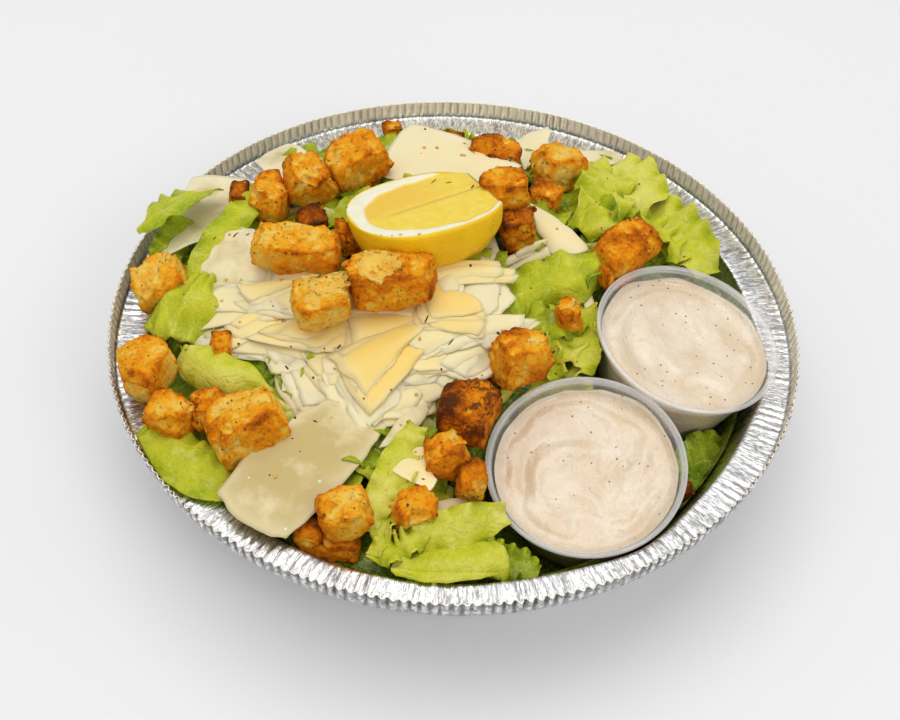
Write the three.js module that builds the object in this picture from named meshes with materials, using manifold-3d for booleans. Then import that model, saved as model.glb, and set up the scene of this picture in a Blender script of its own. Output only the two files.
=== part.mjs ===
import * as THREE from "three";
import { mergeVertices } from "three/addons/utils/BufferGeometryUtils.js";
import Module from "manifold-3d";

const wasm = await Module();
wasm.setup();

// Millimetres, +Z up. The tray's axis is the Z axis and its underside lies on z = 0.
const gap = 0.3; // clearance kept between neighbouring pieces

const tray = {
  facets: 120,
  flute: 0.55, // how far the lip's flutes go in and out
  foil: 0.6,
  floorRadius: 86.5,
  cornerRadius: 91.4,
  cornerHeight: 4.2,
  rimInner: 102.4,
  flangeHeight: 37.5,
  flangeOuter: 113.1,
  lipRadius: 113.75,
  lipHeight: 7.2,
  hem: 1.1,
};

const cup = {
  facets: 26,
  height: 31.5,
  baseRadius: 22.0,
  neckRadius: 28.9,
  rimRadius: 30.7,
  rimDepth: 1.6,
  wall: 0.6,
  level: 25.6, // the dressing's height over the cup's base
};

// Each cup by the middle of its rim, and the way its axis leans.
const cupPlaces = {
  near: { rim: [41.6, -62.2, 44.2], axis: [-0.071, -0.182, 1] },
  far: { rim: [76.3, -12.9, 50.2], axis: [0.17, -0.057, 1] },
};

const lemon = {
  middle: [-12, 17.5, 75.5], // middle of the cut face
  halfLength: 27.5,
  radius: 23.2,
  tipCut: 22.6,
  stemCut: 25.4,
  facets: 20,
  rows: 8,
  turn: [-17.5, 0, 25],
};

const heap = {
  crown: [-12, 16],
  rise: 26,
  spread: [62, 52],
  foot: -2,
  facets: 38,
  rows: 7,
  edgeRadius: 100.9,
  blendRadius: 86,
  ruffle: 1.3,
  wallClearance: 0.6,
};

// The corner of the tray left free of leaves, where its floor shows.
const hollow = { middle: [86, -40], radius: 15.5, facets: 12 };

const degrees = Math.PI / 180;

function smooth(low, high, value) {
  const t = Math.min(Math.max((value - low) / (high - low), 0), 1);
  return t * t * (3 - 2 * t);
}

// A repeatable number from -1 to 1 for a pair of numbers.
function scatter(a, b) {
  const s = Math.sin(a * 127.1 + b * 311.7) * 43758.5453;
  return 2 * (s - Math.floor(s)) - 1;
}

// A closed body through rings of points; its first and last rings are one point each.
function ringBody(rings) {
  const positions = [];
  const starts = [];
  const count = rings[1].length;
  for (const ring of rings) {
    starts.push(positions.length / 3);
    for (const point of ring) positions.push(...point);
  }
  const index = [];
  const at = (row, i) => starts[row] + (rings[row].length === 1 ? 0 : i % count);
  for (let row = 0; row < rings.length - 1; row++) {
    for (let i = 0; i < count; i++) {
      const [a, b, c, d] = [at(row, i), at(row, i + 1), at(row + 1, i + 1), at(row + 1, i)];
      if (a !== b) index.push(a, b, c);
      if (c !== d) index.push(a, c, d);
    }
  }
  const body = new THREE.BufferGeometry();
  body.setAttribute("position", new THREE.Float32BufferAttribute(positions, 3));
  body.setIndex(index);
  return body;
}

// A body of revolution from [radius, height] rows, with an optional change per angle.
function revolve(rows, facets, shape = (radius, height) => [radius, height]) {
  return ringBody(
    rows.map(([radius, height], row) => {
      if (radius === 0) return [[0, 0, height]];
      return Array.from({ length: facets }, (_, i) => {
        const angle = (2 * Math.PI * i) / facets;
        const [r, z] = shape(radius, height, angle, row, i);
        return [r * Math.cos(angle), r * Math.sin(angle), z];
      });
    }),
  );
}

function bare(geometry) {
  geometry.deleteAttribute("normal");
  geometry.deleteAttribute("uv");
  return mergeVertices(geometry, 1e-4);
}

function eachPoint(geometry, move) {
  const points = geometry.getAttribute("position");
  for (let i = 0; i < points.count; i++) {
    points.setXYZ(i, ...move(points.getX(i), points.getY(i), points.getZ(i), i));
  }
  return geometry;
}

function place(geometry, at, turn) {
  const euler = new THREE.Euler(...turn.map((t) => t * degrees), "ZYX");
  const matrix = new THREE.Matrix4().makeRotationFromEuler(euler).setPosition(...at);
  return geometry.applyMatrix4(matrix);
}

function toSolid(geometry) {
  return new wasm.Manifold(
    new wasm.Mesh({
      numProp: 3,
      vertProperties: new Float32Array(geometry.getAttribute("position").array),
      triVerts: new Uint32Array(geometry.index.array),
    }),
  );
}

function toGeometry(solid) {
  const mesh = solid.getMesh();
  const geometry = new THREE.BufferGeometry();
  geometry.setAttribute("position", new THREE.Float32BufferAttribute(mesh.vertProperties, 3));
  geometry.setIndex([...mesh.triVerts]);
  geometry.computeVertexNormals();
  return geometry;
}

// ---- the foil tray: floor, sloping wall, flat flange and an upright fluted lip ----

// The wall gives way a little where a cup leans on it.
function dent(angle) {
  let out = 0;
  for (const { rim } of Object.values(cupPlaces)) {
    const away = Math.atan2(rim[1], rim[0]) - angle;
    const turn = Math.atan2(Math.sin(away), Math.cos(away));
    out += 2.6 * Math.exp(-((turn / 0.17) ** 2));
  }
  return out;
}

function trayWall(height) {
  const t = (height - tray.cornerHeight) / (tray.flangeHeight - tray.cornerHeight);
  return tray.cornerRadius + (tray.rimInner - tray.cornerRadius) * t;
}

function trayBody() {
  const top = tray.flangeHeight;
  const lipTop = top + tray.lipHeight;
  const rows = [
    [0, 0, 0, 0],
    [tray.floorRadius, 0, 0, 0],
    [tray.cornerRadius + tray.foil, tray.cornerHeight, 0.3, 0],
    [tray.rimInner + tray.foil, top - tray.foil, 0.3, 1],
    [tray.flangeOuter, top - tray.foil, 0.3, 0],
    [tray.lipRadius, lipTop, 1, 0],
    [tray.lipRadius - tray.hem, lipTop, 1, 0],
    [tray.flangeOuter - tray.hem, top, 0.3, 0],
    [tray.rimInner, top, 0.3, 1],
    [tray.cornerRadius, tray.cornerHeight + 0.1, 0.3, 0],
    [tray.floorRadius - 0.5, tray.foil, 0, 0],
    [0, tray.foil, 0, 0],
  ];
  return revolve(rows, tray.facets, (radius, height, angle, row, i) => {
    const inOut = i % 2 ? 1 : -1;
    return [radius + inOut * tray.flute * rows[row][2] + dent(angle) * rows[row][3], height];
  });
}

// The space inside the tray and over its flange, where everything else has to stay.
function trayRoom() {
  const top = tray.flangeHeight + gap;
  const clear = 0.3 * tray.flute + gap;
  const wallAt = (height) => trayWall(height) - clear;
  const rows = [
    [0, tray.foil + gap],
    [tray.floorRadius - 2, tray.foil + gap],
    [wallAt(tray.cornerHeight) - 0.4, tray.cornerHeight + gap],
    [wallAt(top), top],
    [tray.flangeOuter - tray.hem - clear - tray.flute, top],
    [tray.flangeOuter - tray.hem - clear - tray.flute, top + 60],
    [0, top + 60],
  ];
  return revolve(rows, tray.facets);
}

// ---- the cups and the dressing in them ----

function cupBody(swell = 0, filled = false) {
  const { height, baseRadius, neckRadius, rimRadius, rimDepth, wall } = cup;
  const outside = [
    [0, -swell],
    [baseRadius + swell, -swell],
    [neckRadius + swell, height - rimDepth - swell],
    [rimRadius + swell, height - rimDepth - swell],
  ];
  const inside = filled
    ? [
        [rimRadius + swell, height + 45],
        [0, height + 45],
      ]
    : [
        [rimRadius, height - 0.3],
        [neckRadius - 0.2, height],
        [neckRadius - wall, height - rimDepth],
        [baseRadius - wall, wall + 0.3],
        [0, wall + 0.3],
      ];
  return revolve([...outside, ...inside], cup.facets);
}

function dressingBody() {
  const { baseRadius, neckRadius, height, rimDepth, wall, level } = cup;
  const low = wall + 0.3 + gap;
  const widen = (neckRadius - baseRadius) / (height - rimDepth);
  const inner = (z) => baseRadius - wall + widen * z - gap - 0.15;
  const rows = [
    [0, low],
    [inner(low), low],
    [inner(level), level],
    [inner(level) - 4.5, level - 0.9],
    [11, level - 0.3],
    [0, level - 0.7],
  ];
  return revolve(rows, cup.facets, (radius, z, angle, row) => {
    const swirl = row < 3 ? 0 : 0.5 * Math.sin(angle * (row - 2) + row * 1.7);
    return [radius, z + swirl];
  });
}

// Puts a body that stands on its own origin into one of the two cup places.
function intoCup(geometry, { rim, axis }) {
  const up = new THREE.Vector3(...axis).normalize();
  const turn = new THREE.Quaternion().setFromUnitVectors(new THREE.Vector3(0, 0, 1), up);
  const foot = new THREE.Vector3(...rim).addScaledVector(up, -cup.height);
  return geometry.applyQuaternion(turn).translate(foot.x, foot.y, foot.z);
}

// ---- half a lemon with its cut face up and both ends trimmed ----

function lemonBody(swell = 0) {
  const { halfLength, radius, rows, facets, tipCut, stemCut } = lemon;
  const rings = [];
  for (let row = 0; row <= rows; row++) {
    const u = -Math.cos((Math.PI * row) / rows);
    const r = (radius + swell) * Math.sqrt(Math.max(1 - Math.abs(u) ** 2.3, 0));
    const x = (halfLength + swell) * u;
    rings.push(
      row === 0 || row === rows
        ? [[x, 0, 0]]
        : Array.from({ length: facets }, (_, i) => {
            const angle = (2 * Math.PI * (i + 0.5)) / facets;
            const lump = 1 + 0.015 * scatter(row, i);
            return [x, r * lump * Math.cos(angle), r * lump * Math.sin(angle)];
          }),
    );
  }
  const room = new THREE.BoxGeometry(tipCut + stemCut + 2 * swell, 80, 40 + swell);
  room.translate((tipCut - stemCut) / 2, 0, swell / 2 - 20);
  const half = toSolid(ringBody(rings)).intersect(toSolid(bare(room)));
  return place(toGeometry(half), lemon.middle, lemon.turn);
}

// ---- the heap of lettuce ----

// Height of the leaves over the tray's underside.
function leafTop(x, y) {
  const bump =
    ((x - heap.crown[0]) / heap.spread[0]) ** 2 + ((y - heap.crown[1]) / heap.spread[1]) ** 2;
  const dome = heap.foot + heap.rise * Math.exp(-bump / 2);
  const edge = smooth(heap.blendRadius, heap.edgeRadius, Math.hypot(x, y));
  return tray.flangeHeight + dome * (1 - edge) - 1.5 * edge;
}

// A leaf lies out over the flange on the left.
function overhang(angle) {
  return Math.exp(-(((angle - 2.88) / 0.16) ** 2));
}

function heapBody() {
  const low = tray.foil + gap + 0.1;
  const high = tray.flangeHeight - 1.5;
  const clear = heap.wallClearance;
  const rows = [
    [0, low],
    [tray.floorRadius - 4, low],
    [trayWall(tray.cornerHeight + 3) - clear - 1, tray.cornerHeight + 3],
    [trayWall(high - 1.2) - clear, high - 1.2],
    [heap.edgeRadius, high],
  ];
  for (let row = 1; row < heap.rows; row++) {
    rows.push([heap.edgeRadius * (1 - row / heap.rows), 0]);
  }
  rows.push([0, leafTop(0, 0)]);
  return revolve(rows, heap.facets, (radius, height, angle, row, i) => {
    const over = overhang(angle);
    if (row < 4) return [radius, height];
    if (row === 4) return [radius + 5 * over, height + 13 * over];
    const r = radius * (1 + 0.02 * scatter(row, i));
    const top = leafTop(r * Math.cos(angle), r * Math.sin(angle));
    const frill = heap.ruffle * scatter(i, row + 7);
    return [r, top + frill + (row === 5 ? 9 * over : 0)];
  });
}

// ---- croutons: uneven toasted cubes ----

function croutonBody({ size, cuts = 2 }, seed, swell = 0) {
  const [w, d, t] = size;
  const box = bare(new THREE.BoxGeometry(w, d, t, cuts, cuts, cuts));
  return eachPoint(box, (x, y, z) => {
    const [u, v, q] = [(2 * x) / w, (2 * y) / d, (2 * z) / t];
    const corner = u * u * v * v + v * v * q * q + q * q * u * u;
    const key = seed * 3.1 + u * 5 + v * 7 + q * 11;
    const pull = 1 - 0.075 * corner;
    const rough = 0.06 * Math.min(corner, 1);
    return [
      x * pull * (1 + rough * scatter(key, 1)) + swell * Math.sign(x),
      y * pull * (1 + rough * scatter(key, 2)) + swell * Math.sign(y),
      z * pull * (1 + rough * scatter(key, 3)) + swell * Math.sign(z),
    ];
  });
}

// The socket a crouton sits in: a plain box, or for the smallest ones their own shape.
function croutonSocket(bit, seed) {
  if (bit.cuts === 1) return croutonBody(bit, seed, gap);
  return bare(new THREE.BoxGeometry(...bit.size.map((side) => side + 2 * gap)));
}

// at: x and y of the middle; rise: height of the middle over the flange; size: x, y, z before turning.
const croutons = {
  crouton_01: { at: [-27, 95], rise: 6, size: [9, 8, 8], turn: [10, 0, 20], cuts: 1 },
  crouton_02: { at: [-37, 52], rise: 26, size: [22, 17, 16], turn: [0, -12, 35], cuts: 3 },
  crouton_03: { at: [-52, 44], rise: 24, size: [19, 16, 16], turn: [12, 10, 20] },
  crouton_04: { at: [-65, 38], rise: 20, size: [14, 18, 15], turn: [-10, 8, -15] },
  crouton_05: { at: [-77, 39], rise: 17, size: [8, 13, 14], turn: [0, 8, 5], cuts: 1 },
  crouton_06: { at: [-50, 25], rise: 21, size: [12, 11, 10], turn: [15, 0, 30], cuts: 1 },
  crouton_07: { at: [-52.5, 3], rise: 28, size: [29, 14, 15], turn: [6, 5, -4], cuts: 3 },
  crouton_08: { at: [-36, 13], rise: 25, size: [11, 14, 12], turn: [0, 0, 12], cuts: 1 },
  crouton_09: { at: [-42, -21], rise: 30, size: [19, 16, 15], turn: [14, -4, 18] },
  crouton_10: { at: [-21.5, -14], rise: 33, size: [30, 16, 16], turn: [-4, -3, 6], cuts: 3 },
  crouton_11: { at: [-99, 2], rise: 12, size: [19, 16, 14], turn: [12, -16, 24] },
  crouton_12: { at: [-97, -37], rise: 12, size: [18, 18, 16], turn: [-6, -4, -22], cuts: 3 },
  crouton_13: { at: [-74, -27], rise: 12, size: [8, 11, 11], turn: [0, 12, 16], cuts: 1 },
  crouton_14: { at: [-5, 84], rise: 11, size: [14, 9, 8], turn: [0, 0, -8], cuts: 1 },
  crouton_15: { at: [12, 70], rise: 17, size: [19, 13, 12], turn: [8, 6, -18] },
  crouton_16: { at: [35, 63], rise: 17, size: [19, 15, 15], turn: [-8, 14, 30] },
  crouton_17: { at: [30, 46], rise: 18, size: [14, 11, 12], turn: [0, 6, -30], cuts: 1 },
  crouton_18: { at: [14.5, 30], rise: 34, size: [17, 14, 13], turn: [0, 0, 12] },
  crouton_19: { at: [19.5, 22], rise: 25, size: [12, 13, 16], turn: [6, -6, 10] },
  crouton_20: { at: [57, 20], rise: 19, size: [23, 15, 14], turn: [10, -10, 38], cuts: 3 },
  crouton_21: { at: [54.5, 11], rise: 17, size: [19, 9, 9], turn: [0, 4, 28], cuts: 1 },
  crouton_22: { at: [37, -11], rise: 17, size: [9, 10, 15], turn: [8, -8, 12] },
  crouton_23: { at: [21, -32], rise: 19, size: [18, 16, 17], turn: [-8, 8, 24], cuts: 3 },
  crouton_24: { at: [-86, -53], rise: 9, size: [15, 13, 13], turn: [8, 0, -24] },
  crouton_25: { at: [-75, -50], rise: 9, size: [13, 12, 12], turn: [0, 10, 30] },
  crouton_26: { at: [-62, -58], rise: 12, size: [24, 19, 17], turn: [-8, -8, 28], cuts: 3 },
  crouton_27: { at: [-30, -85], rise: 8, size: [16, 14, 13], turn: [6, -8, 18] },
  crouton_28: { at: [-35, -88], rise: -3, size: [22, 9, 10], turn: [0, 8, -10] },
  crouton_29: { at: [6, -51], rise: 15, size: [20, 17, 17], turn: [6, 6, -14], cuts: 3 },
  crouton_30: { at: [-1, -66], rise: 12, size: [13, 12, 13], turn: [0, -10, 14] },
  crouton_31: { at: [7, -72], rise: 8, size: [10, 12, 16], turn: [14, 6, -10] },
  crouton_32: { at: [-10, -82], rise: 6, size: [14, 12, 13], turn: [10, 8, 20] },
  crouton_33: { at: [-15, -88], rise: 1, size: [8, 7, 7], turn: [0, 0, 15], cuts: 1 },
  crouton_34: { at: [74, -62], rise: -6, size: [6, 7, 7], turn: [0, 10, 20], cuts: 1 },
};

function croutonPlace({ at, rise, turn }) {
  return [[at[0], at[1], tray.flangeHeight + rise], turn];
}

// ---- shavings: thin curved plates of hard cheese ----

function sheetBody(sheetShape, swell = 0, reach = 0) {
  const { size, taper = 0, bend = 0, curl = 0, thick = 1.1, cuts = [3, 2] } = sheetShape;
  const [length, width] = size;
  const sheet = bare(new THREE.BoxGeometry(length, width, thick, cuts[0], cuts[1], 1));
  return eachPoint(sheet, (x, y, z) => {
    const [u, v] = [(2 * x) / length, (2 * y) / width];
    const narrow = 1 - taper * (u + 1) * 0.5 - 0.14 * u ** 4;
    const wave = bend * u * u + curl * v * v + 0.25 * scatter(u * 3 + length, v * 5 + width);
    const edge = [1 + (2 * swell) / length, 1 + (2 * swell) / width];
    return [
      x * edge[0] * (1 - 0.07 * v * v),
      y * edge[1] * narrow,
      z + wave + (z > 0 ? reach : -swell),
    ];
  });
}

// lift: height of the middle over the leaves.
const shavings = {
  shaving_front_left: { at: [-46, -67], lift: 4.6, size: [58, 33], turn: [14, -14, 36], bend: -2.5, taper: 0.1 },
  shaving_left_back: { at: [-88, 32], lift: 5, size: [38, 24], turn: [-10, -8, 70], bend: -1, taper: 0.2 },
  shaving_left: { at: [-75, 12], lift: 6, size: [30, 22], turn: [-4, -14, 60], bend: -1.5 },
  shaving_back_left: { at: [-64, 68], lift: 4.5, size: [26, 17], turn: [-12, 0, 40], bend: -1 },
  shaving_back: { at: [-14, 60], lift: 6, size: [50, 28], turn: [-20, 8, -32], bend: -2, taper: 0.35 },
  shaving_back_right: { at: [27, 86], lift: 5, size: [24, 15], turn: [-6, 0, 30], bend: -1 },
  shaving_right_back: { at: [47, 79], lift: 4, size: [20, 11], turn: [-8, 4, -16], bend: -1 },
  shaving_right: { at: [33, 30], lift: 7, size: [32, 12], turn: [12, -22, -38], bend: -1.5, taper: 0.6 },
  shaving_middle: { at: [8, 0], lift: 4, size: [34, 16], turn: [8, 16, 78], bend: -1.2, taper: 0.1 },
  shaving_strip: { at: [24, 12], lift: 3, size: [18, 6], turn: [6, 6, 30], bend: -0.6 },
  shaving_front: { at: [-13, -56], lift: 4, size: [30, 9], turn: [10, 4, 64], bend: -1.2, taper: 0.3 },
  shaving_kite: { at: [-10, -70], lift: 9, size: [18, 11], turn: [6, -4, 50], bend: -0.8, taper: 0.5 },
  shaving_front_low: { at: [2, -83], lift: 3, size: [14, 8], turn: [6, 0, 10], bend: -0.5 },
};

function sheetPlace({ at, lift, turn }) {
  return [[at[0], at[1], leafTop(...at) + lift], turn];
}

// ---- the pile: a low mound of shavings with the outer ones fanned round its foot ----

const pile = {
  middle: [-31, -16],
  halfSize: [31, 24],
  thick: 5.6,
  facets: 16,
  rings: [
    { count: 4, out: 0.55, lift: 4.8, size: [28, 20], lean: 4 },
    { count: 7, out: 0.94, lift: 2.6, size: [27, 19], lean: 10 },
  ],
};

function moundBody(swell = 0, reach = 0) {
  const [cx, cy] = pile.middle;
  const foot = (x, y) => leafTop(x, y) + 0.8 - swell;
  const ring = (share, rise, under) =>
    Array.from({ length: pile.facets }, (_, i) => {
      const angle = (2 * Math.PI * i) / pile.facets;
      const x = cx + (pile.halfSize[0] * share + swell) * Math.cos(angle);
      const y = cy + (pile.halfSize[1] * share + swell) * Math.sin(angle);
      const uneven = under ? 0 : 0.4 * scatter(i, share * 10);
      return [x, y, foot(x, y) + rise + uneven + (under ? 0 : reach)];
    });
  return ringBody([
    [[cx, cy, foot(cx, cy)]],
    ring(0.55, 0, true),
    ring(1, 0, true),
    ring(0.94, 2.2, false),
    ring(0.5, pile.thick - 1, false),
    [[cx, cy, foot(cx, cy) + pile.thick + reach]],
  ]);
}

function pileSheets() {
  const [cx, cy] = pile.middle;
  return pile.rings.flatMap(({ count, out, lift, size, lean }, row) =>
    Array.from({ length: count }, (_, i) => {
      const angle = (2 * Math.PI * (i + 0.5 * row)) / count + 0.15 * scatter(i, row);
      const x = cx + pile.halfSize[0] * out * Math.cos(angle);
      const y = cy + pile.halfSize[1] * out * Math.sin(angle);
      const slope = [
        (leafTop(x + 6, y) - leafTop(x - 6, y)) / 12,
        (leafTop(x, y + 6) - leafTop(x, y - 6)) / 12,
      ];
      const outward = [Math.cos(angle), Math.sin(angle)];
      const fall = Math.tan(lean * degrees);
      const tilt = [slope[0] - fall * outward[0], slope[1] - fall * outward[1]];
      const yaw = angle / degrees + 30 * scatter(i, row + 3);
      const shape = { size, taper: 0.2, bend: -0.8, cuts: [2, 1], thick: 1.6 };
      return { ...shape, x, y, z: leafTop(x, y) + lift, tilt, yaw };
    }),
  );
}

// A sheet laid on a slope: turned about its own normal first, then leant with the slope.
function layOnSlope(geometry, { x, y, z, tilt, yaw }) {
  const normal = new THREE.Vector3(-tilt[0], -tilt[1], 1).normalize();
  const up = new THREE.Vector3(0, 0, 1);
  geometry.rotateZ(yaw * degrees);
  geometry.applyQuaternion(new THREE.Quaternion().setFromUnitVectors(up, normal));
  return geometry.translate(x, y, z);
}

function pileSolid(swell = 0, reach = 0) {
  let solid = toSolid(moundBody(swell, reach));
  for (const sheet of pileSheets()) {
    solid = solid.add(toSolid(layOnSlope(sheetBody(sheet, swell, reach), sheet)));
  }
  return solid;
}

// ---- fitting the pieces to one another ----

const room = toSolid(trayRoom());
const keepers = []; // what later pieces are cut back from: { box, tool }

function boxOf(geometry) {
  geometry.computeBoundingBox();
  return geometry.boundingBox;
}

function keep(tool) {
  keepers.push({ box: boxOf(toGeometry(tool)), tool });
}

function fitted(solid) {
  const box = boxOf(toGeometry(solid));
  return keepers
    .filter((keeper) => keeper.box.intersectsBox(box))
    .reduce((rest, keeper) => rest.subtract(keeper.tool), solid.intersect(room));
}

const salad = new THREE.Group();
salad.name = "caesar_salad";

function add(name, geometry, look) {
  const { color, roughness, metalness = 0, opacity = 1 } = look;
  const material = new THREE.MeshStandardMaterial({
    color,
    roughness,
    metalness,
    opacity,
    transparent: opacity < 1,
  });
  geometry.computeVertexNormals();
  const mesh = new THREE.Mesh(geometry, material);
  mesh.name = name;
  salad.add(mesh);
}

const looks = {
  foil: { color: 0xd9dadb, roughness: 0.3, metalness: 1 },
  clear: { color: 0xe9ece8, roughness: 0.12, opacity: 0.4 },
  dressing: { color: 0xe9d6bf, roughness: 0.35 },
  lemon: { color: 0xf2dc5a, roughness: 0.4 },
  leaf: { color: 0x8fb83a, roughness: 0.5 },
  cheese: { color: 0xf0e6b8, roughness: 0.5 },
  toast: { color: 0xc98a35, roughness: 0.8 },
};

add("foil_tray", trayBody(), looks.foil);

for (const [side, spot] of Object.entries(cupPlaces)) {
  add("cup_" + side, intoCup(cupBody(), spot), looks.clear);
  add("dressing_" + side, intoCup(dressingBody(), spot), looks.dressing);
  keep(toSolid(intoCup(cupBody(gap, true), spot)));
}

add("lemon_half", lemonBody(), looks.lemon);
keep(toSolid(mergeVertices(bare(lemonBody(gap)), 1e-4)));

let seed = 0;
for (const [name, bit] of Object.entries(croutons)) {
  seed += 1;
  const spot = croutonPlace(bit);
  const solid = fitted(toSolid(place(croutonBody(bit, seed), ...spot)));
  add(name, toGeometry(solid), looks.toast);
  keep(toSolid(place(croutonSocket(bit, seed), ...spot)));
}

for (const [name, sheet] of Object.entries(shavings)) {
  const spot = sheetPlace(sheet);
  const solid = fitted(toSolid(place(sheetBody(sheet), ...spot)));
  add(name, toGeometry(solid), looks.cheese);
  keep(toSolid(place(sheetBody(sheet, gap, 40), ...spot)));
}

add("parmesan_pile", toGeometry(fitted(pileSolid())), looks.cheese);
keep(pileSolid(gap, 40));

const corner = revolve(
  [
    [0, -1],
    [hollow.radius, -1],
    [hollow.radius, 90],
    [0, 90],
  ],
  hollow.facets,
).translate(...hollow.middle, 0);
keep(toSolid(corner));

add("lettuce_heap", toGeometry(fitted(toSolid(heapBody()))), looks.leaf);

export default salad;
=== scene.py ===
from math import atan2, cos, hypot, pi, radians, sin

import bpy
import numpy as np
from mathutils import Euler, Matrix, Vector
from mathutils.bvhtree import BVHTree


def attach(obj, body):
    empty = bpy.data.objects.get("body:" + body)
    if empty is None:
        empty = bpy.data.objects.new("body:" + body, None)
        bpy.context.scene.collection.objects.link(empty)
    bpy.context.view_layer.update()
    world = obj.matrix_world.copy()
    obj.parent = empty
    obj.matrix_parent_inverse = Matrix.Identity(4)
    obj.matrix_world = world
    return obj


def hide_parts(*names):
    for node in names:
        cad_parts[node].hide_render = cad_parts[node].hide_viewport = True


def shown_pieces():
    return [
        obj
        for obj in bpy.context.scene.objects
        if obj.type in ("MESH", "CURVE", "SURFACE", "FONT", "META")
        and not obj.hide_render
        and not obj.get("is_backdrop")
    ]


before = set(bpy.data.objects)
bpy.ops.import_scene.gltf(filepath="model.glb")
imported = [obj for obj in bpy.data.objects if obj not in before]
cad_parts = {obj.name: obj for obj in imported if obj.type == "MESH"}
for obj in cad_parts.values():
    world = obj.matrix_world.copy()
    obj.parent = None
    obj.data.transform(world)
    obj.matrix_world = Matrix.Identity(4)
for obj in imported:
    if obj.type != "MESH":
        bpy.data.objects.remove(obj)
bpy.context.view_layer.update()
mm = 0.001
flangeTop = 37.5  # the tray's flat flange stands this far over the table, in mm

# The heap of leaves under everything: a low dome that dips to the tray's edge.
heap = {
    "crown": (-12, 16),
    "rise": 26,
    "spread": (62, 52),
    "foot": -2,
    "blend": (86, 100.9),
}

cup = {
    "height": 31.5,
    "baseRadius": 22.0,
    "neckRadius": 28.9,
    "rimRadius": 30.7,
    "wall": 0.45,
    "level": 25.6,
}
cupPlaces = {
    "near": {"rim": (41.6, -62.2, 44.2), "axis": (-0.071, -0.182, 1)},
    "far": {"rim": (76.3, -12.9, 50.2), "axis": (0.17, -0.057, 1)},
}


def ease(low, high, value):
    t = np.clip((value - low) / (high - low), 0, 1)
    return t * t * (3 - 2 * t)


def cellNoise(points, seed):  # smooth noise from -1 to 1, one cell per unit
    base = np.floor(points).astype(np.int64)
    part = points - base
    part = part * part * (3 - 2 * part)
    total = np.zeros(len(points))
    for corner in range(8):
        step = np.array([corner & 1, corner >> 1 & 1, corner >> 2])
        cell = base + step
        key = cell[:, 0] * 73856093 ^ cell[:, 1] * 19349663 ^ cell[:, 2] * 83492791
        key = (key ^ (seed * 668265263)) & 0xFFFFFFFF
        key = ((key ^ (key >> 15)) * 2246822519) & 0xFFFFFFFF
        key = ((key ^ (key >> 13)) * 3266489917) & 0xFFFFFFFF
        value = ((key ^ (key >> 16)) & 0xFFFF) / 32767.5 - 1
        total += value * np.prod(np.where(step == 1, part, 1 - part), axis=1)
    return total


def rough(points, size, seed, layers=3):  # layered noise, the widest lumps size mm across
    total = np.zeros(len(points))
    for layer in range(layers):
        total += cellNoise(points / size * 2**layer, seed + layer * 17) / 2**layer
    return total


def leafTop(x, y):  # how high the heap of leaves stands
    dx = (x - heap["crown"][0]) / heap["spread"][0]
    dy = (y - heap["crown"][1]) / heap["spread"][1]
    dome = heap["foot"] + heap["rise"] * np.exp(-(dx * dx + dy * dy) / 2)
    edge = ease(*heap["blend"], np.hypot(x, y))
    return flangeTop + dome * (1 - edge) - 1.5 * edge


def cupDistance(x, y):  # how far outside the nearer cup's rim a point lies, seen from above
    return np.minimum.reduce(
        [np.hypot(x - c["rim"][0], y - c["rim"][1]) - cup["rimRadius"] for c in cupPlaces.values()]
    )


def besideCups(points, gap=0.35):  # pushes points out of the cups
    points = np.array(points, float)
    for spot in cupPlaces.values():
        up = Vector(spot["axis"]).normalized()
        turn = np.array(Vector((0, 0, 1)).rotation_difference(up).to_matrix())
        foot = np.array(Vector(spot["rim"]) - up * cup["height"])
        local = (points - foot) @ turn
        r, z = np.hypot(local[:, 0], local[:, 1]), local[:, 2]
        reach = cup["baseRadius"] + (cup["neckRadius"] - cup["baseRadius"]) * z / 30
        reach = np.where(z > 28.5, cup["rimRadius"], reach) + gap
        inside = (z > -1) & (z < cup["height"] + 0.5) & (r < reach)
        local[:, :2] *= np.where(inside, reach / np.maximum(r, 1e-6), 1)[:, None]
        points = local @ turn.T + foot
    return points


def withinTray(points):  # keeps points inside the tray's wall, over its flange and behind its lip
    points = np.array(points, float)
    r, z = np.hypot(points[:, 0], points[:, 1]), points[:, 2]
    wall = np.interp(z, [0.35, 1.2, 2.5, 5.2, 36.7], [86, 88.2, 89.7, 91.2, 102.2]) - 0.7
    over = (r > 100.5) & (z > 32)
    lifted = flangeTop + 1.0 + 0.2 * (z - flangeTop + 5.5)
    points[:, 2] = np.where(over, np.maximum(z, lifted), z)
    reach = np.where(over, np.where(z < 45.4, 111.9, r), wall)
    points[:, :2] *= np.minimum(1, reach / np.maximum(r, 1e-6))[:, None]
    return points


def facesOut(points, faces):  # turns a closed mesh's faces round if its volume comes out negative
    total = 0
    for sides in (3, 4):
        some = np.array([face for face in faces if len(face) == sides])
        for corner in range(1, sides - 1 if len(some) else 0):
            a, b, c = points[some[:, 0]], points[some[:, corner]], points[some[:, corner + 1]]
            total += np.einsum("ij,ij->", a, np.cross(b, c))
    return faces if total > 0 else [face[::-1] for face in faces]


def addPiece(name, points, faces, finish, marks=None, nodes=(), slot=None, outward=True):
    points = np.asarray(points)
    faces = facesOut(points, faces) if outward else faces
    mesh = bpy.data.meshes.new(name)
    mesh.from_pydata((points * mm).tolist(), [], faces)
    mesh.validate()
    for key, values in (marks or {}).items():
        mark = mesh.attributes.new(key, "FLOAT", "POINT")
        mark.data.foreach_set("value", np.asarray(values, dtype=np.float32))
    mesh.polygons.foreach_set("use_smooth", [True] * len(mesh.polygons))
    mesh.materials.append(finish)
    piece = bpy.data.objects.new(name, mesh)
    bpy.context.scene.collection.objects.link(piece)
    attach(piece, "root")
    if nodes:
        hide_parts(*nodes)
    return piece


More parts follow.
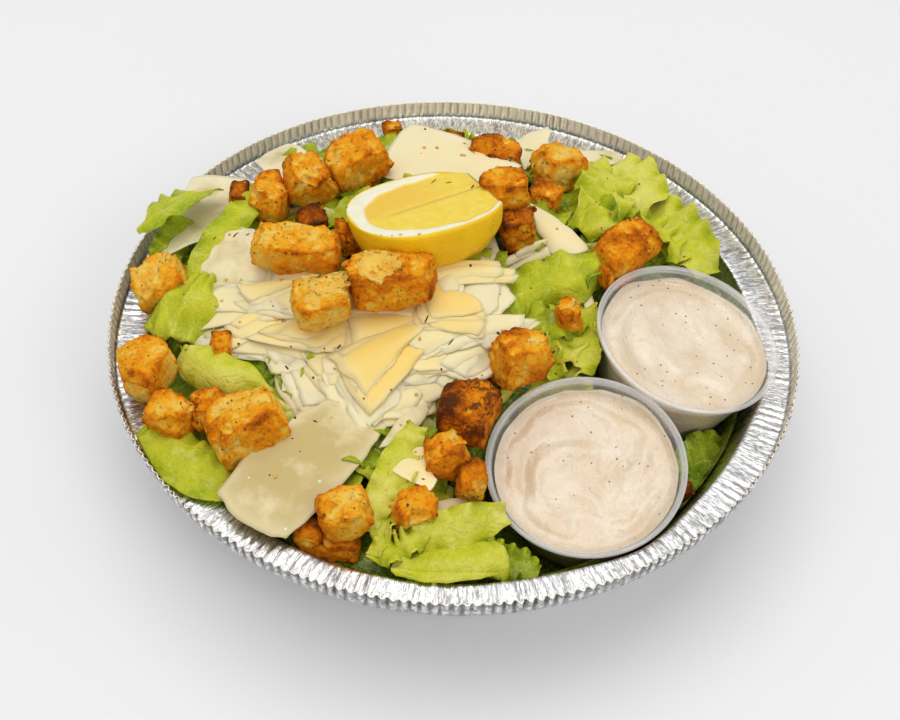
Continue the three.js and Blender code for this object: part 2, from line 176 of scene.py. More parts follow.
def gridFaces(rows, columns, start=0, closed=False, flip=False):
    i, j = np.meshgrid(np.arange(rows - 1), np.arange(columns if closed else columns - 1), indexing="ij")
    i, j = i.ravel(), j.ravel()
    nextJ = (j + 1) % columns
    quads = np.stack(
        [i * columns + j, i * columns + nextJ, (i + 1) * columns + nextJ, (i + 1) * columns + j], 1
    )
    if flip:
        quads = quads[:, ::-1]
    return (quads + start).tolist()


def turnedBody(rings):  # closed body from rings (rows, count, 3), shut with a point at each end
    rings = np.asarray(rings, float)
    rows, count = rings.shape[:2]
    points = np.concatenate([rings.reshape(-1, 3), [rings[0].mean(0)], [rings[-1].mean(0)]])
    faces = gridFaces(rows, count, closed=True)
    first, last = rows * count, rows * count + 1
    for j in range(count):
        k = (j + 1) % count
        faces.append([first, k, j])
        faces.append([last, (rows - 1) * count + j, (rows - 1) * count + k])
    return points, faces


def gridNormals(grid):
    along = np.gradient(grid, axis=0)
    across = np.gradient(grid, axis=1)
    normal = np.cross(along, across)
    return normal / np.maximum(np.linalg.norm(normal, axis=2, keepdims=True), 1e-9)


def thinSheet(grid, thickness):  # closed sheet: the grid's two faces, thickness apart, joined at the rim
    rows, columns = grid.shape[:2]
    half = gridNormals(grid) * (np.asarray(thickness) / 2)[..., None]
    top, under = (grid + half).reshape(-1, 3), (grid - half).reshape(-1, 3)
    count = rows * columns
    faces = gridFaces(rows, columns) + gridFaces(rows, columns, start=count, flip=True)
    rim = [j for j in range(columns)]
    rim += [i * columns + columns - 1 for i in range(1, rows)]
    rim += [(rows - 1) * columns + j for j in range(columns - 2, -1, -1)]
    rim += [i * columns for i in range(rows - 2, 0, -1)]
    for a, b in zip(rim, rim[1:] + rim[:1]):
        faces.append([b, a, a + count, b + count])
    return np.concatenate([top, under]), faces


class Batch:  # several sheets gathered into one mesh
    def __init__(self):
        self.points, self.faces, self.marks, self.count = [], [], {}, 0

    def add(self, points, faces, marks):
        self.points.append(points)
        self.faces += [[v + self.count for v in face] for face in facesOut(points, faces)]
        for key, values in marks.items():
            self.marks.setdefault(key, []).append(values)
        self.count += len(points)

    def build(self, name, finish, **options):
        marks = {key: np.concatenate(values) for key, values in self.marks.items()}
        points = np.concatenate(self.points)
        return addPiece(name, points, self.faces, finish, marks, outward=False, **options)


class Wire:  # one socket's value in an expression
    def __init__(self, finish, node, out):
        self.finish, self.node, self.socket = finish, node, node.outputs[out]

    def join(self, kind, *values):
        return self.finish.add("ShaderNodeMath", {"operation": kind}, dict(enumerate(values)))

    def __add__(self, other):
        return self.join("ADD", self, other)

    def __radd__(self, other):
        return self.join("ADD", other, self)

    def __sub__(self, other):
        return self.join("SUBTRACT", self, other)

    def __rsub__(self, other):
        return self.join("SUBTRACT", other, self)

    def __mul__(self, other):
        return self.join("MULTIPLY", self, other)

    def __rmul__(self, other):
        return self.join("MULTIPLY", other, self)

    def __truediv__(self, other):
        return self.join("DIVIDE", self, other)

    def __pow__(self, other):
        return self.join("POWER", self, other)

    def size(self):
        return self.join("ABSOLUTE", self)

    def step(self, low, high):  # eases from 0 at low to 1 at high
        settings = {"interpolation_type": "SMOOTHSTEP"}
        return self.finish.add("ShaderNodeMapRange", settings, {0: self, 1: low, 2: high})

    def at(self, out):
        return Wire(self.finish, self.node, out)


class Finish:  # a material, or the sky, and the nodes it is made of
    def __init__(self, name, tree=None):
        if tree is None:
            self.material = bpy.data.materials.new(name)
            self.material.use_nodes = True
            tree = self.material.node_tree
        self.tree = tree
        self.tree.nodes.clear()

    def add(self, kind, settings=None, values=None, out=0):
        node = self.tree.nodes.new(kind)
        for key, value in (settings or {}).items():
            if key == "stops":
                for _ in range(len(value) - 2):
                    node.color_ramp.elements.new(0.5)
                for stop, (place, colour) in zip(node.color_ramp.elements, value):
                    stop.position, stop.color = place, (*colour, 1)
            else:
                setattr(node, key, value)
        for key, value in (values or {}).items():
            if isinstance(value, Wire):
                self.tree.links.new(value.socket, node.inputs[key])
            else:
                node.inputs[key].default_value = value
        return Wire(self, node, out) if len(node.outputs) else None

    def place(self, stretch=(1, 1, 1)):  # a point's place in mm, in the tray's frame
        here = self.add("ShaderNodeTexCoord", out="Object")
        scale = tuple(1000 * s for s in stretch)
        return self.add("ShaderNodeVectorMath", {"operation": "MULTIPLY"}, {0: here, 1: scale})

    def mark(self, name):
        return self.add("ShaderNodeAttribute", {"attribute_name": name}, out="Fac")

    def noise(self, place, size, detail=2.0, roughness=0.5, distortion=0.0, out=0):
        values = {
            "Vector": place,
            "Scale": 1 / size,
            "Detail": detail,
            "Roughness": roughness,
            "Distortion": distortion,
        }
        return self.add("ShaderNodeTexNoise", None, values, out)

    def cells(self, place, size, feature="F1", out="Distance"):
        values = {"Vector": place, "Scale": 1 / size}
        return self.add("ShaderNodeTexVoronoi", {"feature": feature}, values, out)

    def pick(self, place, size):  # a red, green and blue value of its own for each cell
        return self.add("ShaderNodeSeparateColor", None, {0: self.cells(place, size, out="Color")})

    def blend(self, share, first, second, kind="MIX"):
        fix = lambda c: c if isinstance(c, Wire) else (*c, 1)
        settings = {"data_type": "RGBA", "blend_type": kind}
        return self.add("ShaderNodeMix", settings, {0: share, 6: fix(first), 7: fix(second)}, out=2)

    def ramp(self, value, stops):
        return self.add("ShaderNodeValToRGB", {"stops": stops}, {0: value})

    def bump(self, height, distance, strength=1.0):
        values = {"Height": height, "Distance": distance * mm, "Strength": strength}
        return self.add("ShaderNodeBump", None, values)

    def surface(self, values):
        shader = self.add("ShaderNodeBsdfPrincipled", None, values)
        self.add("ShaderNodeOutputMaterial", None, {"Surface": shader})
        return self.material


print("stage: helpers ready")


camera = {
    "target": (-1.02, -16.76, flangeTop),
    "distance": 423.6,
    "elevation": 48.13,
    "roll": 2.49,
    "lens": 1279 / 900 * 36,
}


def addCamera():
    up = radians(camera["elevation"])
    forward = Vector((0, cos(up), -sin(up)))
    side, top = Vector((1, 0, 0)), Vector((0, sin(up), cos(up)))
    roll = radians(camera["roll"])
    x = cos(roll) * side + sin(roll) * top
    y = cos(roll) * top - sin(roll) * side
    data = bpy.data.cameras.new("camera")
    data.lens, data.sensor_width, data.clip_start = camera["lens"], 36, 0.01
    item = bpy.data.objects.new("camera", data)
    spot = (Vector(camera["target"]) - forward * camera["distance"]) * mm
    item.matrix_world = Matrix.Translation(spot) @ Matrix((x, y, -forward)).transposed().to_4x4()
    bpy.context.scene.collection.objects.link(item)
    bpy.context.scene.camera = item


lights = {
    "skyBright": 0.66,
    "skyDark": 0.20,
    "overhead": {"at": (-0.15, 0.12, 1.4), "size": (1.5, 1.1), "power": 8.0, "tint": (1.0, 0.985, 0.965)},
    "front": {"at": (0.8, -1.0, 1.1), "size": (0.6, 0.6), "power": 4.0, "tint": (1.0, 0.99, 0.98)},
}


def addLight(name, at, size, power, tint):
    data = bpy.data.lights.new(name, "AREA")
    data.shape, data.size, data.size_y = "RECTANGLE", size[0], size[1]
    data.energy, data.color = power, tint
    item = bpy.data.objects.new(name, data)
    item.location = at
    item.rotation_euler = (Vector((0, 0, 0.03)) - Vector(at)).to_track_quat("-Z", "Y").to_euler()
    bpy.context.scene.collection.objects.link(item)


def addSky():  # a pale room: bright overhead, darker low down
    world = bpy.data.worlds.new("studio")
    bpy.context.scene.world = world
    world.use_nodes = True
    room = Finish("studio", world.node_tree)
    way = room.add("ShaderNodeTexCoord", out="Generated")
    split = room.add("ShaderNodeSeparateXYZ", None, {0: way})
    height = split.at("Z").step(0.03, 0.5)
    level = lights["skyDark"] + (lights["skyBright"] - lights["skyDark"]) * height
    glow = room.add("ShaderNodeBackground", None, {"Color": (1, 1, 1, 1), "Strength": level})
    room.add("ShaderNodeOutputWorld", None, {"Surface": glow})


def floorFinish():
    paint = Finish("paleFloor")
    here = paint.place()
    tone = paint.noise(here, 260, 1).step(0.3, 0.7)
    colour = paint.blend(tone, (0.86, 0.865, 0.872), (0.88, 0.882, 0.888))
    return paint.surface({"Base Color": colour, "Roughness": 0.8})


def addFloor():
    mesh = bpy.data.meshes.new("floor")
    reach = 6.0
    corners = [(-reach, -reach, 0), (reach, -reach, 0), (reach, reach, 0), (-reach, reach, 0)]
    mesh.from_pydata(corners, [], [(0, 1, 2, 3)])
    mesh.materials.append(floorFinish())
    floor = bpy.data.objects.new("floor", mesh)
    bpy.context.scene.collection.objects.link(floor)
    floor.location.z = -0.0002
    floor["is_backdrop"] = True


addCamera()
addSky()
for name in ("overhead", "front"):
    addLight(name, **lights[name])
addFloor()
bpy.context.scene.view_settings.view_transform = "Standard"
print("stage: camera, light and floor")


# The tray from its floor out: a sloping wall, a flat flange and an upright crimped lip.
tray = {
    "segments": 1200,
    "flutes": 240,
    "wallPleats": 300,
    "foil": 0.35,
    "floorRadius": 86.0,
    "wallFoot": (91.2, 5.2),
    "wallTop": (102.2, 36.7),
    "flangeOuter": 112.6,
    "lipFoot": (113.2, 38.3),
    "lipTop": (113.75, 44.3),
    "hem": 0.62,
    "fluteDepth": 0.5,
    "wrinkle": 0.32,
    "pleatDepth": 0.2,
}


def foilFinish():
    paint = Finish("crinkledFoil")
    here = paint.place()
    split = paint.add("ShaderNodeSeparateXYZ", None, {0: here})
    x, y, z = split.at("X"), split.at("Y"), split.at("Z")
    angle = y.join("ARCTAN2", y, x)
    radius = (x * x + y * y) ** 0.5
    lip, inner, pleat = paint.mark("lip"), paint.mark("inner"), paint.mark("pleat")
    along = paint.add("ShaderNodeCombineXYZ", None, {0: angle * 104, 1: radius * 0.20, 2: z * 0.12})
    fine = paint.noise(along, 1.0, 2, 0.6)
    broad = paint.noise(along, 3.2, 2, 0.5, 0.3)
    # The foil's colour is darkened by painted dark reflections: narrow streaks along the creases and broad
    # patches.
    creaseDarkReflection = 1 - ((fine - 0.5).size() * 9).step(0.0, 1.0)  # painted dark reflections along narrow creases
    wide = broad.step(0.50, 0.64)
    height = (fine - 0.5).size() * 1.4 + broad * 0.8
    normal = paint.bump(height, 0.30, 0.9)
    # shade: the foil's colour darkened by painted dark reflections along creases and in broad patches
    shade = 1 - creaseDarkReflection * 0.50 - wide * 0.22
    # Painted shade and dark reflections in the lip's pleat valleys: front on the outer face, broken up along
    # the pleats by hem, back on the inner face.
    fold = (pleat * 0.5 + 0.5) * 0.72 + fine * 0.5
    across = paint.add("ShaderNodeCombineXYZ", None, {0: angle * 104, 1: radius * 0.5, 2: z * 0.7})
    hem = paint.noise(across, 1.5, 3, 0.65, 0.4).step(0.40, 0.60)
    front = fold.step(0.22, 0.80) * (0.32 + 0.66 * hem)
    back = 0.40 + fold.step(0.2, 0.7) * 0.70
    shade = shade * (1 - lip) + (front * (1 - inner) + back * inner) * lip + 0.05
    grey = paint.add("ShaderNodeCombineColor", None, {0: shade, 1: shade, 2: shade})
    # A warm painted reflection of the food on the lip's inner face.
    tint = paint.blend(lip * inner, (0.98, 0.98, 0.98), (0.99, 0.87, 0.67))
    colour = paint.blend(1.0, grey, tint, "MULTIPLY")
    roughness = 0.20 + 0.16 * broad
    metal = 1 - 0.7 * lip * inner
    return paint.surface({"Base Color": colour, "Metallic": metal, "Roughness": roughness, "Normal": normal})


def dent(angle):  # the wall gives way a little where a cup leans on it
    out = 0
    for spot in cupPlaces.values():
        away = atan2(spot["rim"][1], spot["rim"][0]) - angle
        turn = np.arctan2(np.sin(away), np.cos(away))
        out = out + 2.6 * np.exp(-((turn / 0.17) ** 2))
    return out


def arc(start, corner, end, steps):  # a bend from start to end, drawn towards corner
    t = np.linspace(0, 1, steps)[:, None]
    start, corner, end = map(np.array, (start, corner, end))
    return (1 - t) ** 2 * start + 2 * t * (1 - t) * corner + t * t * end


def trayProfile():
    t = tray
    line = lambda a, b, steps: np.linspace(a, b, steps)[1:]
    foil = t["foil"]
    inside = np.concatenate(
        [
            [(t["floorRadius"], foil)],
            arc((t["floorRadius"], foil), (90.4, foil), t["wallFoot"], 6)[1:],
            line(t["wallFoot"], t["wallTop"], 12),
            arc(t["wallTop"], (102.4, flangeTop), (103.6, flangeTop), 4)[1:],
            line((103.6, flangeTop), (t["flangeOuter"] - 0.6, flangeTop), 9),
            arc((t["flangeOuter"] - 0.6, flangeTop), (112.9, flangeTop), t["lipFoot"], 4)[1:],
            line(t["lipFoot"], t["lipTop"], 6),
        ]
    )
    top = np.array(t["lipTop"])
    bead = [top + t["hem"] * np.array((0.5 - cos(a), sin(a) + 0.1)) * 0.6 for a in np.linspace(0.3, 2.6, 5)]
    outside = inside[::-1][::2]
    slope = np.gradient(outside, axis=0)
    out = np.stack([-slope[:, 1], slope[:, 0]], 1)
    outside = outside + foil * out / np.linalg.norm(out, axis=1, keepdims=True)
    outside[-1] = (t["floorRadius"], 0)
    outside[-3:, 1] = np.maximum(outside[-3:, 1], 0.0)
    centreIn = [(4, foil), (50, foil)]
    centreOut = [(50, 0), (4, 0)]
    return np.concatenate([centreIn, inside, bead, outside, centreOut])


def buildTray():
    t = tray
    profile = trayProfile()
    angle = np.linspace(0, 2 * pi, t["segments"], endpoint=False)
    radius, height = profile[:, :1], profile[:, 1:]
    ring = np.stack([np.cos(angle) * 40, np.sin(angle) * 40], 1)
    loose = rough(np.column_stack([ring, np.zeros(len(angle))]), 3.0, 5, 2)
    uneven = 0.75 + 0.35 * rough(np.column_stack([ring, np.full(len(angle), 9.0)]), 2.2, 6, 2)
    wave = np.sin(t["flutes"] * angle + 1.1 * loose)
    flute = np.sign(wave) * np.abs(wave) ** 0.7 * uneven
    lip = ease(flangeTop + 0.3, flangeTop + 3, height)
    flange = ease(102.6, 104.5, radius) * (1 - lip)
    wall = ease(4, 12, height) * (1 - ease(33, 37, height))
    spots = np.stack(
        [
            (np.cos(angle)[None] * 95) + 0 * radius,
            (np.sin(angle)[None] * 95) + 0 * radius,
            radius * 1.4 + 0 * angle[None],
        ],
        -1,
    )
    crease = rough(spots.reshape(-1, 3), 5.5, 11, 2).reshape(len(profile), -1)
    crease = np.maximum(crease + 0.35, 0)
    pleat = np.sin(t["wallPleats"] * angle + 0.4 * loose)
    away = t["fluteDepth"] * flute * lip + t["pleatDepth"] * pleat * wall
    away = away + dent(angle)[None] * ease(60, 102, radius) * (1 - ease(102.8, 106, radius))
    rise = t["wrinkle"] * flute[None] * crease * flange
    rim = 0.35 * rough(np.column_stack([ring * 0.35, np.full(len(angle), 3.0)]), 5, 8, 2)
    rise = rise + rim * ease(flangeTop + 1, flangeTop + 7, height)
    r = radius + away
    rings = np.stack([r * np.cos(angle), r * np.sin(angle), np.maximum(height + rise, 0) + 0 * r], -1)
    points, faces = turnedBody(rings)
    facing = np.gradient(profile[:, 1])[:, None] > 0  # the side that looks in at the food
    marks = {"lip": lip + 0 * r, "inner": facing + 0 * r, "pleat": np.clip(flute[None], -1, 1) + 0 * r}
    marks = {key: np.concatenate([values.ravel(), [0, 0]]) for key, values in marks.items()}
    addPiece("foilTray", points, faces, foilFinish(), marks, nodes=["foil_tray"], slot="foil")


buildTray()
print("stage: tray")


def intoCup(points, spot):  # from a cup's own frame, base on the origin, to where the cup stands
    up = Vector(spot["axis"]).normalized()
    turn = Vector((0, 0, 1)).rotation_difference(up).to_matrix()
    foot = Vector(spot["rim"]) - up * cup["height"]
    return np.asarray(points) @ np.array(turn).T + np.array(foot)


def spin(profile, segments):
    angle = np.linspace(0, 2 * pi, segments, endpoint=False)
    profile = np.asarray(profile, float)
    r, z = profile[:, :1], profile[:, 1:]
    return np.stack([r * np.cos(angle), r * np.sin(angle), z + 0 * angle], -1)


# Nearly clear plastic; ring marks the rim, the ledge and the foot, where it is drawn more opaque and whiter
# as painted highlights and painted light seen through the plastic.
def clearFinish():
    paint = Finish("clearPlastic")
    here = paint.place()
    haze = paint.noise(here, 14, 2)
    ring = paint.mark("ring")
    streak = paint.noise(paint.place((1, 1, 0.25)), 3.0, 2)
    values = {
        "Base Color": paint.ramp(haze, [(0.3, (0.92, 0.905, 0.87)), (0.7, (0.98, 0.97, 0.95))]),
        "Roughness": 0.07 + 0.06 * haze,
        "Alpha": (0.02 + 0.06 * streak) * (1 - ring) + ring * (0.55 + 0.35 * haze),
        "IOR": 1.5,
        "Specular IOR Level": 1.0,
        "Coat Weight": 0.7 + 0.3 * ring,
        "Coat Roughness": 0.04,
        "Normal": paint.bump(streak, 0.10, 0.3),
    }
    return paint.surface(values)


def dressingFinish():
    paint = Finish("creamyDressing")
    here = paint.place()
    tone = paint.noise(here, 13, 3, 0.55)
    cream = paint.blend(tone.step(0.35, 0.68), (0.80, 0.635, 0.44), (0.88, 0.765, 0.60))
    grain = paint.cells(here, 2.6)
    fleck = (1 - grain.step(0.10, 0.17)) * paint.pick(here, 2.6).at("Red").step(0.58, 0.62)
    small = paint.cells(here, 1.3)
    dust = (1 - small.step(0.10, 0.18)) * paint.pick(here, 1.3).at("Green").step(0.80, 0.84)
    colour = paint.blend(dust * 0.6, cream, (0.30, 0.22, 0.15))
    colour = paint.blend(fleck * 0.9, colour, (0.10, 0.085, 0.06))
    lumps = paint.noise(here, 1.5, 3, 0.6) * 0.8 + paint.noise(here, 5, 2) * 0.6
    values = {
        "Base Color": colour,
        "Roughness": 0.24 + 0.14 * tone,
        "Subsurface Weight": 0.25,
        "Subsurface Radius": (1.0, 0.7, 0.45),
        "Subsurface Scale": 0.002,
        "Coat Weight": 0.8,
        "Coat Roughness": 0.08,
        "Normal": paint.bump(lumps, 0.8, 0.9),
    }
    return paint.surface(values)


def cupProfile():
    c = cup
    wall, neck, rim, base = c["wall"], c["neckRadius"], c["rimRadius"], c["baseRadius"]
    outside = [(3, 0.5), (base - 4.5, 0.5), (base - 3.4, 0.0)]
    outside += [(base - 1.2, 0.0), (base - 0.2, 0.7), (base + 0.3, 1.9)]
    outside += [(base + (neck - base) * t, 30 * t) for t in np.linspace(0.12, 0.80, 7)]
    outside += [(neck - 0.8, 25.2), (neck - 0.35, 26.0), (neck, 29.2), (neck + 0.3, 29.7)]
    outside += [(rim - 0.6, 29.75), (rim, 30.2), (rim + 0.02, 31.0), (rim - 0.35, 31.45), (rim - 0.9, 31.5)]
    inside = [(neck + 0.15, 31.15), (neck - 0.25, 30.3), (neck - wall, 29.0)]
    inside += [(neck - 0.85 - wall, 26.0), (neck - 1.25 - wall, 25.0)]
    inside += [(base - wall + (neck - base) * t, 30 * t) for t in np.linspace(0.80, 0.06, 8)]
    inside += [(base - 1.2, 0.95), (base - 4.5, 0.95), (3, 0.95)]
    return outside + inside


def buildCups():
    clear = clearFinish()
    cream = dressingFinish()
    for number, (side, spot) in enumerate(cupPlaces.items()):
        points, faces = turnedBody(spin(cupProfile(), 144))
        r, z = np.hypot(points[:, 0], points[:, 1]), points[:, 2]
        top = ease(28.9, 29.5, z)
        # ring: the rim bead and its edges, the ledge and the foot, drawn more opaque and whiter as painted
        # highlights and painted light through the plastic
        ring = 0.30 * top + 0.50 * ease(30.1, 30.5, r) + 0.35 * top * np.exp(-(((r - 29.2) / 0.25) ** 2))
        ring = np.clip(ring + 0.4 * ease(1.2, 0.3, z) + 0.3 * np.exp(-(((z - 25.8) / 0.35) ** 2)), 0, 1)
        place = {"nodes": ["cup_" + side], "slot": "clear_plastic"}
        addPiece("cup" + side.title(), intoCup(points, spot), faces, clear, {"ring": ring}, **place)
        base, neck, wall, level = cup["baseRadius"], cup["neckRadius"], cup["wall"], cup["level"]
        touch = lambda z: base - wall * 0.5 + (neck - base) * z / 30
        rows = [(3, 0.72), (base - 5, 0.72), (base - 1.4, 0.75)]
        rows += [(touch(z), z) for z in np.linspace(2.0, level + 0.7, 9)]
        edge = touch(level + 0.7)
        rows += [(edge - 0.35, level + 0.75), (edge - 1.0, level + 0.3), (edge - 2.0, level - 0.1)]
        rows += [(r, level - 0.25) for r in np.linspace(edge - 2.6, 0.6, 44)]
        rings = spin(rows, 180)
        edgeRows = rings[9:13]  # the dressing's smeared edge on the wall
        around = np.arctan2(edgeRows[..., 1], edgeRows[..., 0])
        wave = np.stack([np.cos(around) * 3, np.sin(around) * 3, np.full_like(around, number * 5.0)], -1)
        film = 1.3 + 1.3 * rough(wave.reshape(-1, 3), 1.2, 50 + number, 2).reshape(around.shape)
        rise = np.clip(film, 0.2, 3.4) * np.array([0.5, 1, 1, 0.25])[:, None]
        out = 1 + rise * (neck - base) / 30 / np.hypot(edgeRows[..., 0], edgeRows[..., 1])
        edgeRows[..., :2] *= out[..., None]
        edgeRows[..., 2] += rise
        x, y, z = rings[..., 0], rings[..., 1], rings[..., 2]
        r, a = np.hypot(x, y), np.arctan2(y, x)
        inner = ease(edge - 0.6, edge - 5, r) * (z > level - 1)
        flat = np.stack([x, y, np.full_like(x, 31.0 * number)], -1).reshape(-1, 3)
        warp = rough(flat, 13, 40 + number, 2).reshape(r.shape)
        ridge = np.sin(a * (1 if number else 2) - r * 0.42 + 2.6 * warp + number * 2.0)
        fold = np.sign(ridge) * np.abs(ridge) ** 1.4
        ripple = rough(flat, 3.2, 60 + number, 2).reshape(r.shape)
        swirl = 0.55 * fold * ease(2, 10, r) + 0.9 * warp + 0.18 * ripple
        spout = 0.5 * np.exp(-(((r - edge + 6) / 2.2) ** 2)) * (1 + 0.6 * np.sin(a * 2 + number * 2))
        rings[..., 2] = z + inner * (swirl + spout - 0.3)
        points, faces = turnedBody(rings)
        place = {"nodes": ["dressing_" + side], "slot": "dressing"}
        addPiece("dressing" + side.title(), intoCup(points, spot), faces, cream, **place)


buildCups()
print("stage: cups and dressing")


lemon = {
    "middle": (-12, 17.5, 75.5),
    "radius": 22.9,
    "stemEnd": (25.2, 2.7),  # length to the stem end and how blunt it is
    "tipEnd": (27.5, 2.3),
    "tipCut": 22.0,
    "turn": (-17.5, 0, 25),
}


def lemonFinish():
    paint = Finish("lemonRindAndFlesh")
    here = paint.place()
    rind, pith, core, side = paint.mark("rind"), paint.mark("pith"), paint.mark("core"), paint.mark("side")
    tone = paint.noise(here, 7, 3, 0.6)
    skin = paint.ramp(tone, [(0.25, (0.90, 0.52, 0.003)), (0.75, (0.97, 0.64, 0.008))])
    scar = paint.noise(here, 4.5, 4, 0.7, 0.6).step(0.60, 0.72) * side
    skin = paint.blend(scar * 0.75, skin, (0.34, 0.24, 0.045))
    pulp = paint.noise(here, 3.0, 3, 0.6)
    flesh = paint.ramp(pulp, [(0.3, (0.95, 0.66, 0.035)), (0.7, (0.97, 0.77, 0.12))])
    flesh = paint.blend(paint.mark("gold") * 0.65, flesh, (0.93, 0.56, 0.055))
    # core: the central groove on the cut face, darkened as painted shade.
    flesh = paint.blend(core * 0.8, flesh, (0.66, 0.42, 0.06))
    white = paint.ramp(paint.noise(here, 5, 2), [(0.3, (0.90, 0.87, 0.62)), (0.7, (0.95, 0.93, 0.78))])
    colour = paint.blend(pith, flesh, white)
    colour = paint.blend(rind, colour, skin)
    pores = paint.cells(here, 1.15).step(0.0, 0.55)
    height = pores * rind * 0.8 + paint.noise(here, 1.1, 3) * (1 - rind) * 0.7
    values = {
        "Base Color": colour,
        "Roughness": 0.22 + 0.22 * pith + 0.10 * tone,
        "Specular IOR Level": 0.3,
        "Subsurface Weight": 0.22,
        "Subsurface Radius": (1.0, 0.75, 0.2),
        "Subsurface Scale": 0.003,
        "Coat Weight": 0.22 * (1 - pith) * (1 - rind * 0.7),
        "Coat Roughness": 0.12,
        "Normal": paint.bump(height, 0.25, 0.6),
    }
    return paint.surface(values)


def lemonGirth(x):  # how wide the lemon is there, as a share of its middle
    length, blunt = lemon["stemEnd"] if x < 0 else lemon["tipEnd"]
    return np.sqrt(max(1 - abs(x / length) ** blunt, 0))


def buildLemon():
    l = lemon
    skinCount, faceCount = 52, 72
    stemLength, stemBlunt = l["stemEnd"]
    toStem = -stemLength * np.cos(np.linspace(0.05, pi / 2, 40))[:-1]
    xs = np.concatenate([toStem, np.linspace(0, l["tipCut"], 51)])
    rings, keys = [], ("rind", "pith", "core", "side", "gold")
    marks = {key: [] for key in keys}
    order = [(x, l["radius"] * lemonGirth(x), "skin") for x in xs]
    order += [(xs[-1], order[-1][1] * s, "tipCut") for s in (0.97, 0.85, 0.6, 0.3, 0.02)]
    for x, r, part in order:
        a = np.linspace(pi, 2 * pi, skinCount, endpoint=False)
        faceY = np.linspace(r, -r, faceCount, endpoint=False)
        y = np.concatenate([r * np.cos(a), faceY])
        z = np.concatenate([r * np.sin(a), np.zeros(faceCount)])
        full = l["radius"] * lemonGirth(x)
        onFace = np.concatenate([np.zeros(skinCount), np.ones(faceCount)])
        if part == "skin":
            fromStem = (x + stemLength) * 0.85
            oval = np.sqrt((np.abs(x) / stemLength) ** stemBlunt + (y / l["radius"]) ** 2)
            depth = (1 - oval) * l["radius"] if x < 0 else full - np.abs(y)
            wide = 2.7 + 3.2 * ease(14, -16, x + 0 * y) + 1.2 * ease(-4, 10, y) * ease(16, 4, x + 0 * y)
            wide = np.where(y > 0, wide * ease(15, 9, x + 0 * y), wide) + 0.35 * np.sin(x * 0.6 + y * 0.3)
            white = 1 - ease(wide - 0.8, wide + 0.5, depth)
            # core: the central line on the cut face, sunk as a groove and darkened in colour as painted shade
            core = np.exp(-(((y - 0.12 * x - 0.5) / 0.8) ** 2)) * ease(-17, -8, x + 0 * y)
            z = z - (0.55 * (1 - white) + 0.6 * core * (1 - white)) * onFace
            rim = onFace * (1 - ease(0.5, 1.1, np.minimum(full - np.abs(y), fromStem)))
            skin = np.where(onFace > 0, rim, 1)
            gold = ease(-1, 3, y - 0.12 * x) * ease(16, -2, x + 0 * y)
        else:
            skin, core, gold = np.zeros(len(y)), np.zeros(len(y)), np.zeros(len(y))
            white = 1 - ease(1.6, 2.6, full - np.hypot(y, z))
        rings.append(np.stack([np.full_like(y, x), y, z], -1))
        side = ease(2, 17, x + 0 * y) * ease(8, -8, y)
        for key, value in zip(keys, (skin, white, core, side, gold)):
            marks[key].append(value)
    rings = np.array(rings)
    flat = rings.reshape(-1, 3)
    lump = rough(flat, 9, 71, 2).reshape(rings.shape[:2]) * 0.25
    out = rings * np.array([0, 1, 1])
    out = out / np.maximum(np.linalg.norm(out, axis=2, keepdims=True), 1e-6)
    rings = rings + out * (lump * np.array(marks["rind"]))[..., None]
    points, faces = turnedBody(rings)
    turn = Euler([radians(t) for t in l["turn"]], "XYZ").to_matrix()
    points = points @ np.array(turn).T + np.array(l["middle"])
    ends = lambda values: [values[0][0], values[-1][0]]
    marks = {key: np.concatenate([np.ravel(values), ends(values)]) for key, values in marks.items()}
    addPiece("lemonHalf", points, faces, lemonFinish(), marks, nodes=["lemon_half"], slot="lemon")


buildLemon()
print("stage: lemon")


def cheeseFinish():
    paint = Finish("hardCheese")
    here = paint.place()
    warm, age = paint.mark("warm"), paint.noise(here, 12, 3, 0.6)
    stops = [
        (0.0, (0.57, 0.44, 0.155)),
        (0.12, (0.90, 0.80, 0.50)),
        (0.5, (0.97, 0.78, 0.34)),
        (1.0, (0.99, 0.67, 0.16)),
    ]
    colour = paint.ramp(warm + (age - 0.5) * 0.36, stops)
    # Sheet edges lightened in colour as painted light showing through the thin edges.
    colour = paint.blend(paint.mark("edge") * 0.55, colour, (0.98, 0.90, 0.62))
    crystal = paint.cells(here, 4.2)
    pick = paint.pick(here, 4.2)
    dot = (1 - crystal.step(0.06, 0.14)) * pick.at("Red").step(0.84, 0.88)
    colour = paint.blend(dot * 0.8, colour, (0.97, 0.95, 0.86))
    speck = (1 - paint.cells(here, 5.5).step(0.05, 0.10)) * pick.at("Blue").step(0.93, 0.95)
    colour = paint.blend(speck * 0.9, colour, (0.16, 0.12, 0.05))
    grain = paint.noise(paint.place((1, 3.5, 1)), 2.2, 3, 0.6)
    values = {
        "Base Color": colour,
        "Roughness": 0.38 + 0.15 * age,
        "Specular IOR Level": 0.35,
        "Subsurface Weight": 0.3,
        "Subsurface Radius": (1.0, 0.8, 0.4),
        "Subsurface Scale": 0.0007,
        "Coat Weight": 0.10 + 0.30 * age,
        "Coat Roughness": 0.28,
        "Normal": paint.bump(grain * 0.5 + age * 0.5, 0.12, 0.4),
    }
    return paint.surface(values)


